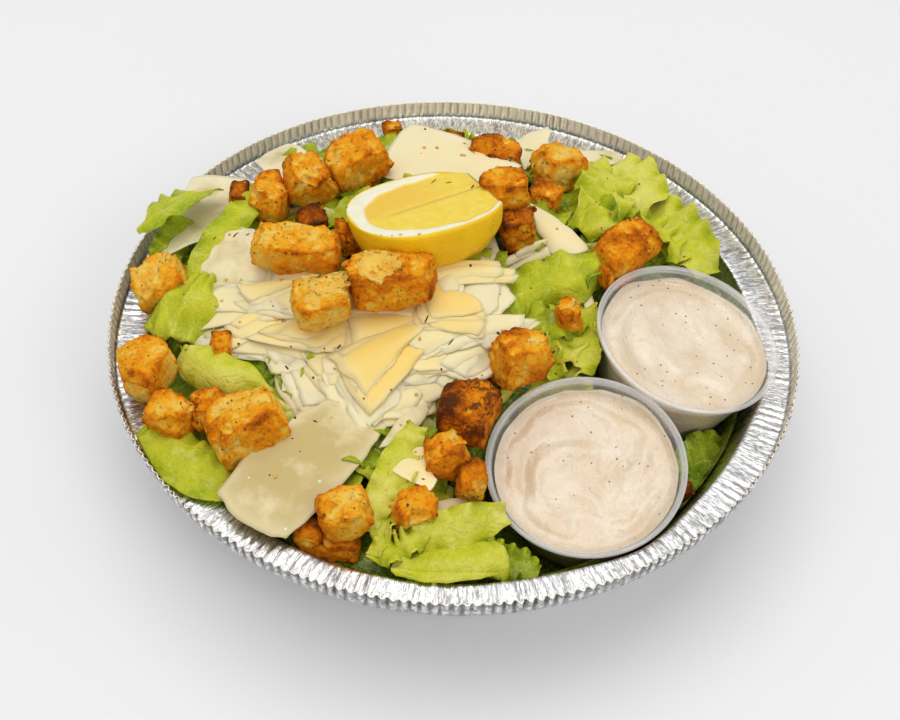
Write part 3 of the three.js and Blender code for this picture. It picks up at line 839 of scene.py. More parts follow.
def sheetGrid(corners, bulge=(0, 0, 0, 0), bend=0.0, curl=0.0, ragged=0.6, seed=1, rows=24, columns=18):
    # a sheet between four corners, its sides bowed out by bulge and its middle lifted by bend and curl
    a, b, c, d = np.array(corners, float)
    u, v = np.meshgrid(np.linspace(0, 1, rows), np.linspace(0, 1, columns), indexing="ij")
    share = lambda w: w[..., None]
    grid = share((1 - u) * (1 - v)) * a + share(u * (1 - v)) * b + share(u * v) * c + share((1 - u) * v) * d
    flat = (grid * (1, 1, 0)).reshape(-1, 3) + (0, 0, seed * 13.0)
    wear = rough(flat, 5, seed, 3).reshape(u.shape) * ragged
    sides = [(a, b, u, 1 - v), (b, c, v, u), (c, d, u, v), (d, a, v, 1 - u)]
    for (start, end, t, near), bow in zip(sides, bulge):
        out = np.cross(end - start, (0, 0, 1.0))
        out /= np.linalg.norm(out)
        push = bow * 4 * t * (1 - t) * near + wear * near**3
        grid = grid + share(push) * out
    p, q = 2 * u - 1, 2 * v - 1
    lift = bend * (1 - p * p) + curl * (1 - q * q) + 0.30 * rough(flat, 12, seed + 5, 2).reshape(u.shape)
    grid = grid + share(lift) * gridNormals(grid)
    return grid, np.clip(np.maximum(np.abs(p), np.abs(q)) ** 5, 0, 1)


def sheetMarks(edge, warm):
    rim = np.concatenate([edge.ravel(), edge.ravel()])
    return {"edge": rim, "warm": np.full(len(rim), warm)}


# Large loose shavings: four corners each, in mm; warm goes from pale and greenish to buttery.
shavings = {
    "shaving_front_left": {
        "corners": [(-46.2, -92.3, 41), (-17.3, -48.2, 46.5), (-38.3, -47.1, 50.5), (-68.1, -78.8, 43.5)],
        "bulge": (2.6, 0.4, 3.0, 3.0), "bend": 1.6, "warm": 0.0,
    },
    "shaving_left_back": {
        "corners": [(-101, 14.2, 48), (-79.8, 22.7, 54), (-74.8, 48.7, 54.5), (-97, 56.5, 48.5)],
        "bulge": (0.5, 1.5, 1.0, 1.5), "bend": 1.2, "warm": 0.12,
    },
    "shaving_left": {
        "corners": [(-75.5, -2.9, 50.5), (-57.7, 0.7, 54), (-66.8, 21.3, 57), (-90.3, 13.8, 52.5)],
        "bulge": (1.5, 1.5, 3.5, 2.5), "bend": 3.0, "curl": 1.5, "warm": 0.1,
    },
    "shaving_back_left": {
        "corners": [(-76.4, 69.4, 46.5), (-65.6, 53.5, 51), (-55.7, 68.8, 51.5), (-65.5, 80.8, 46.5)],
        "bulge": (0.8, 1.0, 0.5, 1.2), "bend": 1.0, "warm": 0.1,
    },
    "shaving_back": {
        "corners": [(-29.8, 51.5, 57.5), (3.5, 36.2, 60.5), (21.9, 61.7, 56.5), (-20.3, 87.1, 53.5)],
        "bulge": (0.5, 0.5, 1.5, 1.5), "bend": 1.5, "warm": 0.2,
    },
    "shaving_back_right": {
        "corners": [(20.1, 89.7, 45.5), (23.3, 69.2, 48.5), (33.1, 87.7, 45.5), (33.4, 101, 44.5)],
        "bulge": (0.5, 0.5, 0.3, 0.5), "bend": 0.8, "warm": 0.15,
    },
    "shaving_right_back": {
        "corners": [(40.1, 87.0, 44.0), (45.5, 75.4, 46.5), (61.6, 80.5, 44.5), (56.2, 89.6, 42.5)],
        "bulge": (0.3, 0.5, 1.0, 0.5), "bend": 0.6, "warm": 0.1,
    },
    "shaving_right": {
        "corners": [(24.3, 37.6, 60), (28.0, 26.0, 55.5), (36.5, 16.2, 53.5), (45.1, 21.1, 54.5)],
        "bulge": (0.6, 1.2, 0.5, 2.2), "bend": 1.4, "warm": 0.3,
    },
    "shaving_middle": {
        "corners": [(0.3, -1.3, 53.0), (8.8, -8.5, 51.0), (15.5, -2.2, 53), (12.0, 23.1, 58.0)],
        "bulge": (1.0, 0.5, 1.0, 1.2), "bend": 1.2, "warm": 0.12,
    },
    "shaving_strip": {
        "corners": [(14.2, 12.4, 52), (17.9, 7.0, 51), (32.6, 19.0, 52.5), (30.2, 25.8, 53.5)],
        "bulge": (0.4, 0.8, 0.4, 0.8), "bend": 1.5, "warm": 0.25,
    },
    "shaving_front": {
        "corners": [(-21.1, -61.0, 46), (-15.8, -60.4, 46), (-4.6, -41.1, 49), (-11.1, -35.7, 49.5)],
        "bulge": (0.3, 2.0, 0.8, -0.8), "bend": 1.4, "warm": 0.1,
    },
    "shaving_kite": {
        "corners": [(-17.2, -69.9, 47), (-5.2, -78.0, 48.5), (-3.0, -74.3, 48.5), (-7.5, -60.7, 48.5)],
        "bulge": (0.8, 0.3, -1.5, 0.8), "bend": 0.6, "warm": 0.4,
    },
    "shaving_front_low": {
        "corners": [(-3.1, -76.1, 40.5), (-1.9, -82.2, 39.5), (7.0, -82.5, 39.5), (10.0, -73.2, 40.5)],
        "bulge": (0.4, 0.4, 0.4, 0.4), "bend": 0.4, "warm": 0.3,
    },
}

# The heaped shavings: how buttery, how high over the leaves, and the four corners seen from above.
pile = {
    "seed": 23,
    "under": 3,
    "sheets": [
        (0.20, 1.0, [(-51, -33), (-45, -46), (-28, -46), (-33, -38)]),
        (0.40, 1.2, [(-23, -39), (-23, -43), (-8, -41), (-6, -34)]),
        (0.40, 1.0, [(-28, -41), (-25, -50), (-13, -49), (-8, -39)]),
        (0.30, 2.6, [(-38, -35), (-25, -53), (-17, -43), (-21, -36)]),
        (0.35, 2.0, [(-21, -35), (-10, -40), (-3, -34), (-16, -30)]),
        (0.10, 1.4, [(-76, -13), (-75, -21), (-44, -31), (-59, -19)]),
        (0.15, 1.6, [(-60, -25), (-55, -33), (-42, -30), (-53, -24)]),
        (0.25, 2.4, [(-69, -21), (-36, -31), (-33, -27), (-59, -17)]),
        (0.55, 3.2, [(-72, -17), (-67, -22), (-52, -15), (-65, -14)]),
        (0.75, 4.2, [(-59, -23), (-40, -28), (-22, -18), (-44, -17)]),
        (0.30, 4.6, [(-82, -12), (-50, -17), (-52, -6), (-76, -4)]),
        (0.60, 5.4, [(-71, -4), (-66, -11), (-48, -6), (-56, -5)]),
        (1.00, 5.2, [(-35, -32), (-25, -44), (-16, -31), (-8, -20)]),
        (0.90, 4.4, [(-31, -18), (-29, -30), (-8, -21), (-8, -16)]),
        (0.95, 6.4, [(-10, -8), (-8, -21), (8, -17), (5, -12)]),
        (0.70, 5.6, [(-9, -18), (-6, -22), (7, -23), (8, -17)]),
        (0.50, 4.4, [(-16, -27), (-9, -33), (2, -24), (-11, -22)]),
        (0.15, 3.6, [(-8, -27), (-2, -30), (13, -24), (13, -19)]),
        (0.10, 2.6, [(-8, -31), (4, -37), (12, -32), (13, -24)]),
        (0.20, 4.6, [(-1, -19), (9, -26), (17, -22), (21, -16)]),
        (0.60, 3.4, [(-21, -36), (-3, -35), (-5, -30), (-15, -29)]),
        (0.10, 4.2, [(-88, -2), (-80, -10), (-71, -7), (-83, 0)]),
        (0.55, 6.2, [(-8, -3), (-6, -7), (13, -2), (13, 2)]),
        (0.20, 6.0, [(-5, -11), (0, -12), (1, -5), (-2, -4)]),
        (0.10, 4.0, [(1, -10), (9, -16), (14, -9), (8, 4)]),
        (0.30, 3.8, [(-47, -18), (-22, -19), (-23, -9), (-45, -8)]),
        (0.80, 5.0, [(-33, -18), (-9, -19), (-12, -8), (-38, -6)]),
        (0.40, 4.0, [(-58, -14), (-41, -17), (-43, -3), (-59, 0)]),
        (0.50, 2.2, [(-46, -28), (-40, -38), (-24, -36), (-32, -29)]),
        (0.50, 2.8, [(-30, -29), (-24, -37), (-9, -35), (-15, -26)]),
        (0.30, 3.0, [(-41, -33), (-40, -39), (-36, -38), (-36, -32)]),
    ],
}


# Narrow shreds, as four corners each.
shreds = [
    [(40.6, 9.9, 49.5), (45.3, -10.5, 47.5), (47.7, -8.6, 47.5), (43.2, 11.1, 49.5)],
    [(36.3, -10.6, 48), (36.7, -13.4, 48), (43.2, -12.9, 46.5), (43.6, -10.6, 46.5)],
    [(14.4, 13.3, 55), (15.4, 9.9, 55), (25.6, 18.0, 54), (24.6, 20.5, 54)],
    [(19.4, 16.0, 56), (19.7, 13.9, 56), (30.1, 22.2, 55), (29.7, 24.1, 55)],
    [(-9.9, -10.1, 58.8), (-8.2, -12.7, 58.8), (4.2, 7.4, 59.5), (1.5, 8.2, 59.5)],
]


def buildShavings():
    cheese = cheeseFinish()
    for number, (node, spot) in enumerate(shavings.items()):
        shape = {key: spot[key] for key in ("bulge", "bend", "curl") if key in spot}
        grid, edge = sheetGrid(spot["corners"], seed=number + 3, rows=34, columns=26, ragged=0.5, **shape)
        points, faces = thinSheet(grid, 0.95 - 0.6 * edge)
        words = node.split("_")
        name = words[0] + "".join(word.title() for word in words[1:])
        addPiece(name, points, faces, cheese, sheetMarks(edge, spot["warm"]), nodes=[node], slot="cheese")
    pick = np.random.default_rng(pile["seed"])
    batch = Batch()
    for warm, lift, corners in pile["sheets"]:
        middle = np.mean(corners, axis=0)
        for copy in range(pile["under"] + 1):
            turn = radians(pick.uniform(-5, 5)) * copy
            move = np.array([pick.uniform(-1.8, 1.8), pick.uniform(-1.6, 0.2)]) * copy
            twist = np.array([[cos(turn), -sin(turn)], [sin(turn), cos(turn)]])
            flat = (np.array(corners, float) - middle) @ twist.T * (1.13 + 0.06 * copy) + middle + move
            flat += pick.uniform(-0.6, 0.6, flat.shape)
            rise = lift - 0.32 * copy
            height = [leafTop(x, y) + rise for x, y in flat]
            bulge = [pick.uniform(-0.4, 1.3) for _ in range(4)]
            grid, edge = sheetGrid(
                [(x, y, z) for (x, y), z in zip(flat, height)],
                bulge,
                bend=pick.uniform(0.2, 1.3),
                curl=pick.uniform(-0.5, 0.9),
                ragged=0.75,
                seed=int(pick.integers(1, 9999)),
                rows=15,
                columns=11,
            )
            points, faces = thinSheet(grid, 0.32 - 0.20 * edge)
            batch.add(points, faces, sheetMarks(edge, min(max(warm + pick.uniform(-0.12, 0.12), 0), 1)))
    batch.build("shavingPile", cheese, nodes=["parmesan_pile"], slot="cheese")
    batch = Batch()
    for number, corners in enumerate(shreds):
        grid, edge = sheetGrid(corners, (0.4, 0.2, 0.4, 0.2), 1.6, 0.3, 0.3, number + 70, 18, 8)
        points, faces = thinSheet(grid, 0.8 - 0.4 * edge)
        batch.add(points, faces, sheetMarks(edge, 0.25))
    batch.build("cheeseShreds", cheese, slot="cheese")


buildShavings()
print("stage: cheese")


def toastFinish():
    paint = Finish("toastedBread")
    here = paint.place()
    toast = paint.mark("toast")
    tone = paint.noise(here, 4.5, 4, 0.65)
    fine = paint.noise(here, 1.3, 3, 0.65)
    level = toast * 0.95 + (tone - 0.5) * 0.85 + (fine - 0.5) * 0.5 + 0.02
    stops = [
        (0.0, (0.98, 0.66, 0.13)),
        (0.22, (0.98, 0.46, 0.018)),
        (0.45, (0.86, 0.265, 0.003)),
        (0.70, (0.47, 0.105, 0.002)),
        (1.0, (0.10, 0.020, 0.002)),
    ]
    colour = paint.ramp(level, stops)
    crumb = paint.noise(here, 0.9, 3, 0.7)
    colour = paint.blend(crumb.step(0.56, 0.78) * 0.20, colour, (0.97, 0.72, 0.22))
    char = (paint.noise(here, 3.2, 3, 0.65, 0.4) + paint.mark("burn") * 0.17).step(0.665, 0.73)
    colour = paint.blend(char * 0.8, colour, (0.10, 0.03, 0.008))
    grain = paint.cells(here, 2.4)
    pick = paint.pick(here, 2.4)
    speck = (1 - grain.step(0.12, 0.20)) * pick.at("Red").step(0.76, 0.80)
    herb = (1 - grain.step(0.14, 0.26)) * pick.at("Green").step(0.93, 0.95)
    colour = paint.blend(speck * 0.9, colour, (0.045, 0.03, 0.02))
    colour = paint.blend(herb * 0.8, colour, (0.05, 0.07, 0.02))
    # hole: pits, bumped in and darkened in colour as painted shade.
    hole = paint.noise(here, 1.7, 3, 0.75).step(0.57, 0.70)
    colour = paint.blend(hole * 0.35, colour, (0.42, 0.13, 0.008))
    grit = paint.noise(here, 0.5, 3, 0.75)
    height = grit * 0.9 + crumb * 0.5 - hole * 0.9
    values = {
        "Base Color": colour,
        "Roughness": 0.58 + 0.22 * crumb,
        "Specular IOR Level": 0.10,
        "Subsurface Weight": 0.10,
        "Subsurface Radius": (1.0, 0.5, 0.2),
        "Subsurface Scale": 0.0015,
        "Normal": paint.bump(height, 0.5, 1.0),
    }
    return paint.surface(values)


def relaxed(points, edges, times):  # each point drawn towards its neighbours
    a, b = edges[:, 0], edges[:, 1]
    degree = np.bincount(edges.ravel(), minlength=len(points))[:, None]
    for _ in range(times):
        total = np.zeros_like(points)
        for axis in range(3):
            total[:, axis] = np.bincount(a, points[b, axis], len(points))
            total[:, axis] += np.bincount(b, points[a, axis], len(points))
        points = 0.5 * points + 0.5 * total / degree
    return points


burnt = {"crouton_29": 1.0, "crouton_05": 0.6, "crouton_06": 0.7, "crouton_19": 0.5, "crouton_01": 0.4}

# Torn ones: where the tear's hollow sits and how wide it is, in mm.
tears = {
    "crouton_09": (-40, -17, 79, 9.0),
    "crouton_10": (-25, -15, 82, 8.0),
    "crouton_11": (-96, 15, 66, 9.0),
}

# What every crouton has, in mm: how deep its lumps, grain, pits and chipped corners go, how far
# it is pulled out of true, and how many small bites are torn out of it.
crouton = {
    "seed": 3,
    "voxel": 0.62,
    "round": 1,
    "lump": 0.50,
    "grain": 0.40,
    "pit": 0.9,
    "chip": 1.5,
    "warp": 0.7,
    "bites": 3,
    "bite": (2.6, 5.2),
}

# How toasted some of them are, and more or less crumb showing.
croutonTones = {
    "crouton_02": -0.05, "crouton_05": 0.45, "crouton_06": 0.5, "crouton_07": -0.1, "crouton_09": -0.25,
    "crouton_10": -0.02, "crouton_11": -0.3, "crouton_12": -0.12, "crouton_14": 0.3, "crouton_15": 0.2,
    "crouton_16": -0.12, "crouton_17": 0.2, "crouton_18": 0.05, "crouton_19": 0.35, "crouton_21": 0.1,
    "crouton_22": 0.15, "crouton_23": 0.1, "crouton_26": -0.05, "crouton_28": 0.2, "crouton_29": 0.4,
    "crouton_33": 0.5, "crouton_34": 0.5, "crouton_08": 0.2, "crouton_20": 0.05,
}


def buildCroutons():
    bread = toastFinish()
    pick = np.random.default_rng(crouton["seed"])
    names = sorted(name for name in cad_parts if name.startswith("crouton"))
    for number, node in enumerate(names):
        draft = bpy.data.objects.new("draft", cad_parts[node].data.copy())
        bpy.context.scene.collection.objects.link(draft)
        remesh = draft.modifiers.new("remesh", "REMESH")
        remesh.mode, remesh.voxel_size = "VOXEL", crouton["voxel"] * mm
        fine = draft.evaluated_get(bpy.context.evaluated_depsgraph_get()).to_mesh()
        points = np.empty(len(fine.vertices) * 3)
        fine.vertices.foreach_get("co", points)
        points = points.reshape(-1, 3) / mm
        edges = np.empty(len(fine.edges) * 2, dtype=np.int64)
        fine.edges.foreach_get("vertices", edges)
        edges = edges.reshape(-1, 2)
        faces = [list(face.vertices) for face in fine.polygons]
        points = relaxed(points, edges, crouton["round"])
        quad = np.array(faces)
        normal = np.zeros_like(points)
        facing = np.cross(points[quad[:, 2]] - points[quad[:, 0]], points[quad[:, 3]] - points[quad[:, 1]])
        for corner in range(4):
            for axis in range(3):
                normal[:, axis] += np.bincount(quad[:, corner], facing[:, axis], len(points))
        normal /= np.maximum(np.linalg.norm(normal, axis=1, keepdims=True), 1e-9)
        convex = np.sum((points - relaxed(points, edges, 40)) * normal, axis=1)
        seed = 100 + number * 7
        warp = np.stack([rough(points, 10.0, seed + 30 + axis, 1) for axis in range(3)], 1)
        lump = rough(points, 6.0, seed, 2)
        grain = rough(points, 1.7, seed + 1, 2)
        pits = ease(0.25, 0.75, rough(points, 2.6, seed + 2, 2))
        chips = ease(0.15, 0.55, rough(points, 4.4, seed + 3, 1)) * np.clip(convex, 0, 1)
        patch = rough(points, 9.0, seed + 4, 1)
        move = crouton["lump"] * lump + crouton["grain"] * grain
        move = move - crouton["pit"] * pits - crouton["chip"] * chips
        tone = croutonTones.get(node, 0.0)
        toast = 0.27 + 0.50 * convex + 0.30 * patch + 0.10 * lump - 0.30 * pits - 0.25 * chips + tone
        hollows = [tears[node]] if node in tears else []
        corners = np.flatnonzero((convex > 0.35) & (normal[:, 2] > -0.2))
        for _ in range(crouton["bites"] if len(points) > 1800 else 0):
            spot = pick.choice(corners)
            wide = pick.uniform(*crouton["bite"])
            hollows.append((*(points[spot] + normal[spot] * wide * 0.55), wide))
        for x, y, z, wide in hollows:
            away = points - (x, y, z)
            reach = np.linalg.norm(away, axis=1)
            inside = np.clip((wide + 1.2 * grain - reach) / wide, 0, 1)
            points = points + away / reach[:, None] * (inside * wide)[:, None]
            toast = toast - (1.2 if wide > 7 else 0.22) * ease(0, 0.12, inside)
            move = move + 0.8 * grain * ease(0, 0.1, inside)
        points = besideCups(points + normal * move[:, None] * 0.9 + warp * crouton["warp"])
        bpy.data.meshes.remove(draft.data)
        name = "crouton" + node[-2:]
        burn = ease(-2, 4, points[:, 2] - points[:, 2].mean()) * burnt.get(node, 0.0)
        marks = {"toast": np.clip(toast, 0, 1), "burn": burn}
        addPiece(name, points, faces, bread, marks, nodes=[node], slot="toast")


buildCroutons()
print("stage: croutons")


def leafFinish():
    paint = Finish("romaineLeaf")
    here = paint.place()
    green, rib, along, across = (paint.mark(name) for name in ("green", "rib", "along", "across"))
    wander = paint.noise(here, 9, 2) - 0.5
    vein = across.size() * 0.8 - along * 0.62 + wander * 7
    main = 1 - (vein.join("PINGPONG", vein, 3.6) / 3.6).step(0.0, 0.22)
    main = main * paint.noise(here, 7, 2).step(0.42, 0.6)
    swirl = paint.noise(here, 2.2, 2, out="Color")
    values = {0: swirl, 1: (2.2, 2.2, 2.2), 2: here}
    bent = paint.add("ShaderNodeVectorMath", {"operation": "MULTIPLY_ADD"}, values)
    net = 1 - paint.cells(bent, 2.4, "DISTANCE_TO_EDGE").step(0.0, 0.16)
    tone = paint.noise(here, 10, 3, 0.6)
    # Painted light and shade: ridges of the leaf drawn lighter and yellower, valleys darker and greener.
    level = green * 0.85 + (tone - 0.5) * 0.5 + 0.10 - (paint.mark("crest") - 0.5) * 0.36
    stops = [
        (0.0, (0.76, 0.72, 0.15)),
        (0.25, (0.57, 0.59, 0.022)),
        (0.5, (0.32, 0.41, 0.005)),
        (0.75, (0.12, 0.215, 0.003)),
        (1.0, (0.028, 0.078, 0.003)),
    ]
    colour = paint.ramp(level, stops)
    colour = paint.blend(main * 0.34, colour, (0.72, 0.75, 0.14))
    colour = paint.blend(net * 0.16, colour, (0.66, 0.70, 0.08))
    colour = paint.blend(rib * 0.7, colour, (0.80, 0.80, 0.34))
    crinkle = (paint.noise(here, 3.4, 3, 0.6, 0.8) - 0.5).size()
    height = tone * 0.5 - main * 0.5 - net * 0.22 + rib * 0.3 - crinkle * 1.3
    # Painted highlights: lighter yellow-green along the crinkle ridges.
    colour = paint.blend((1 - crinkle.step(0.0, 0.07)) * 0.22, colour, (0.72, 0.73, 0.10))
    values = {
        "Base Color": colour,
        "Roughness": 0.34 + 0.20 * tone,
        "Specular IOR Level": 0.12,
        "Coat Weight": 0.6 * paint.noise(here, 6, 2).step(0.52, 0.62),
        "Coat Roughness": 0.12,
        "Subsurface Weight": 0.35,
        "Subsurface Radius": (0.8, 1.0, 0.12),
        "Subsurface Scale": 0.002,
        "Normal": paint.bump(height, 0.6, 0.8),
    }
    return paint.surface(values)


# A leaf as a grid of points: along its spine, and across it out to its ragged, ruffled sides.
def leafGrid(
    spine, width, roll=0, frill=1.5, waves=5, cupping=0.0, fold=0.0, ribAt=0.0, ribWide=0.0,
    tips=(0.35, 0.5), blister=0.8, seed=1, rows=46, columns=32,
):
    spine = np.array(spine, float)
    t = np.linspace(0, 1, rows)
    middle = 2 * spine[1] - 0.5 * (spine[0] + spine[2])
    line = arc(spine[0], middle, spine[2], rows)
    heading = np.gradient(line, axis=0)
    step = np.linalg.norm(heading, axis=1)
    heading /= step[:, None]
    length = step.sum()
    up = np.array([0, 0, 1.0]) - heading * heading[:, 2:]
    up /= np.linalg.norm(up, axis=1, keepdims=True)
    side = np.cross(up, heading)
    lean = radians(roll)
    side, up = side * cos(lean) + up * sin(lean), up * cos(lean) - side * sin(lean)
    v = np.linspace(-1, 1, columns)
    uu, vv = np.meshgrid(t, v, indexing="ij")
    flat = np.stack([uu * length, vv * width / 2, np.full_like(uu, seed * 7.3)], -1).reshape(-1, 3)
    outline = 1 - tips[0] * (1 - ease(0, 0.3, uu)) - tips[1] * ease(0.7, 1, uu)
    eachSide = flat * np.array([1, 0, 1]) + np.sign(vv).reshape(-1, 1) * 5
    ragged = 1 + 0.10 * rough(eachSide, 9, seed, 2).reshape(uu.shape)
    half = width / 2 * outline * ragged
    away = np.abs(vv)
    eachWave = np.stack([uu.ravel() * 3, np.sign(vv).ravel() * 3, np.zeros(uu.size)], -1)
    phase = rough(eachWave, 1, seed + 2, 1).reshape(uu.shape)
    ruffle = frill * away**1.5 * np.sin(2 * pi * waves * uu * (1 + 0.15 * np.sign(vv)) + 2.2 * phase + seed)
    ruffle += 0.32 * frill * away**3.5 * np.sin(2 * pi * waves * 2.6 * uu + 4 * phase + 2 * seed)
    y = vv * half
    ridge = 1 - 2.2 * np.sqrt(rough(flat, 8.0, seed + 4, 1) ** 2 + 0.01).reshape(uu.shape)
    rise = ruffle + blister * (1.3 * ridge + 0.35 * rough(flat, 3.0, seed + 8, 2).reshape(uu.shape))
    # crest: how high each point rides on the ruffles and blisters, which paints ridges lighter and valleys
    # darker.
    crest = 0.5 + 0.5 * np.tanh(rise / 1.8)
    curve = cupping / max(width / 2, 1)
    rise += curve * y * y / (width / 2) + fold * np.abs(vv - ribAt) * width / 2
    ribMark = np.zeros_like(uu)
    if ribWide:
        ribMark = np.exp(-(((y - ribAt * width / 2) / (ribWide * (1.15 - 0.8 * uu))) ** 2))
        rise += 1.1 * ribMark
    slide = 0.9 * rough(flat, 9, seed + 6, 2).reshape(uu.shape)
    slide *= np.minimum(1, 4 * np.minimum(uu, 1 - uu) + 0.35)
    grid = line[:, None] + side[:, None] * y[..., None] + up[:, None] * rise[..., None]
    grid = grid + heading[:, None] * slide[..., None]
    across = y - ribAt * width / 2
    return grid, {"rib": np.clip(ribMark * 1.1, 0, 1), "along": uu * length, "across": across, "crest": crest}


def leafSheet(green, **shape):
    grid, marks = leafGrid(**shape)
    grid = withinTray(besideCups(grid.reshape(-1, 3), 0.8)).reshape(grid.shape)
    points, faces = thinSheet(grid, np.full(grid.shape[:2], 0.45) + 1.3 * marks["rib"])
    edge = np.abs(marks["across"]) / max(np.abs(marks["across"]).max(), 1)
    marks["green"] = np.clip(green + 0.18 * (edge - 0.5), 0, 1)
    return points, faces, {key: np.concatenate([v.ravel(), v.ravel()]) for key, v in marks.items()}


# Leaves that show, each along three points; roll leans it about its own length.
leaves = {
    "leftTip": {
        "spine": [(-90, 41, 57), (-99, 28, 60), (-109, 21, 54)],
        "width": 19, "green": 0.42, "roll": 22, "tips": (0.1, 0.85), "frill": 0.4,
    },
    "leftFlap": {
        "spine": [(-95, 30, 53), (-99, 20, 49), (-104, 13, 45)],
        "width": 12, "green": 0.55, "roll": -20, "tips": (0.2, 0.6), "frill": 0.8,
    },
    "ribLeft": {
        "spine": [(-69, 40, 56), (-80, 16, 58), (-89, -3, 47)],
        "width": 11, "green": 0.36, "roll": -16, "frill": 0.8,
    },
    "foldLeft": {
        "spine": [(-98, -4, 49), (-86, -12, 55), (-73, -12, 50)],
        "width": 26, "green": 0.30, "roll": 16, "fold": -0.35, "ribAt": 0.1,
        "frill": 0.8, "tips": (0.15, 0.3),
    },
    "paleLeft": {
        "spine": [(-88, -28, 46), (-74, -38, 50), (-57, -44, 46)],
        "width": 14, "green": 0.12, "roll": 40, "cupping": -3.5, "frill": 0.6,
    },
    "frontLeft": {
        "spine": [(-96, -55, 42), (-80, -67, 42.5), (-63, -76, 38.5)],
        "width": 18, "green": 0.33, "roll": 14, "frill": 0.9, "cupping": -3,
    },
    "strandPale": {
        "spine": [(-10, -55, 50), (-17, -73, 47), (-23, -88, 41)],
        "width": 10, "green": 0.10, "roll": -14, "frill": 1.6, "waves": 5,
    },
    "strandFrill": {
        "spine": [(-9, -64, 46), (-15, -80, 44), (-20, -95, 38)],
        "width": 9, "green": 0.22, "roll": 20, "frill": 1.5, "waves": 4, "cupping": 2,
    },
    "paleFront": {
        "spine": [(-9, -90, 41), (4, -87, 43), (17, -80, 41)],
        "width": 13, "green": 0.18, "roll": 36, "frill": 1.8, "waves": 3, "cupping": -2,
    },
    "frillFront": {
        "spine": [(-21, -93, 38), (-13, -93, 41), (-5, -86, 41)],
        "width": 9, "green": 0.26, "roll": 10, "frill": 2.8, "waves": 4,
    },
    "rollFront": {
        "spine": [(-15, -98, 37), (2, -99, 40.5), (18, -94, 39)],
        "width": 14, "green": 0.16, "roll": 26, "cupping": -6, "frill": 0.5, "tips": (0.25, 0.15),
    },
    "brightRight": {
        "spine": [(10, -5, 53), (31, 0, 59), (50, 14, 56)],
        "width": 19, "green": 0.36, "roll": 30, "cupping": -5, "frill": 1.8, "waves": 3,
    },
    "brightUnder": {
        "spine": [(14, -12, 50), (30, -12, 53), (42, -6, 50)],
        "width": 15, "green": 0.5, "roll": 14, "frill": 2.6, "waves": 3,
    },
    "brightLow": {
        "spine": [(12, -14, 49), (24, -20, 50), (34, -30, 46)],
        "width": 13, "green": 0.3, "roll": 24, "frill": 2.6, "waves": 4,
    },
    "ruffleBack": {
        "spine": [(46, 74, 49), (52, 55, 54), (43, 32, 53)],
        "width": 22, "green": 0.22, "roll": -24, "frill": 3.4, "waves": 3,
    },
    "ruffleDark": {
        "spine": [(40, 58, 49), (46, 46, 52), (55, 38, 50)],
        "width": 15, "green": 0.52, "roll": 20, "frill": 2.6, "waves": 3,
    },
    "paleBack": {
        "spine": [(58, 76, 47), (66, 62, 50), (63, 48, 48)],
        "width": 18, "green": 0.08, "roll": 14, "frill": 2.6, "waves": 3,
    },
    "ruffleRight": {
        "spine": [(68, 54, 45), (78, 41, 47), (88, 25, 41)],
        "width": 20, "green": 0.2, "roll": 16, "frill": 3.2, "waves": 4,
    },
    "ruffleEdge": {
        "spine": [(62, 50, 48), (71, 38, 49), (78, 28, 44)],
        "width": 13, "green": 0.3, "roll": -24, "frill": 3.0, "waves": 4,
    },
    "ruffleMid": {
        "spine": [(33, 3, 49), (43, -12, 49), (37, -29, 44)],
        "width": 14, "green": 0.22, "roll": 12, "frill": 3.2, "waves": 4,
    },
    "curlMid": {
        "spine": [(29, -14, 50), (36, -20, 49), (41, -26, 45)],
        "width": 11, "green": 0.14, "roll": -20, "frill": 3.4, "waves": 3,
    },
    "darkA": {
        "spine": [(-75, -14, 43), (-65, -29, 45), (-57, -41, 42)],
        "width": 12, "green": 0.8, "roll": 40, "frill": 1.8,
    },
    "darkB": {
        "spine": [(-62, -20, 47), (-53, -35, 47), (-45, -47, 43)],
        "width": 8, "green": 0.55, "roll": -30, "frill": 1.2,
    },
    "darkC": {
        "spine": [(-86, -16, 43), (-78, -23, 45), (-68, -25, 43)],
        "width": 15, "green": 0.7, "roll": 30, "frill": 1.8,
    },
    "darkD": {
        "spine": [(-70, -20, 41), (-60, -37, 43), (-50, -48, 40)],
        "width": 15, "green": 0.85, "roll": 10, "frill": 2.4,
    },
    "glassLeft": {
        "spine": [(-64, -34, 43), (-60, -41, 44), (-54, -46, 43)],
        "width": 8, "green": 0.0, "roll": 20, "frill": 1.0, "waves": 2,
    },
    "cupFront": {
        "spine": [(8, -89, 35), (18, -92, 33), (28, -94, 31)],
        "width": 12, "green": 0.6, "roll": 12, "frill": 1.6,
    },
    "backGreen": {
        "spine": [(-10, 86, 44), (0, 86, 45), (10, 87, 43)],
        "width": 13, "green": 0.5, "frill": 2.0,
    },
    "backInner": {
        "spine": [(-50, 56, 56), (-43, 50, 57), (-37, 43, 56)],
        "width": 12, "green": 0.4, "roll": 30, "frill": 1.4,
    },
    "behindCup": {
        "spine": [(13, -42, 38), (26, -31.5, 41), (45, -29.5, 40)],
        "width": 13, "green": 0.2, "roll": 58, "frill": 1.6, "waves": 3,
    },
    "hollowLeaf": {
        "spine": [(64, -62, 23), (77, -50, 26), (86, -34, 27)],
        "width": 16, "green": 0.75, "roll": 30, "frill": 1.5,
    },
}

bed = {
    "drop": 7.0,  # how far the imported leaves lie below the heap's top
    "fillers": 120,
    "edge": 30,
    "hollow": (86, -40),  # the deep gap between the cups and the wall
    "seed": 9,
}


def hollowDistance(x, y):
    return np.hypot(x - bed["hollow"][0], y - bed["hollow"][1])


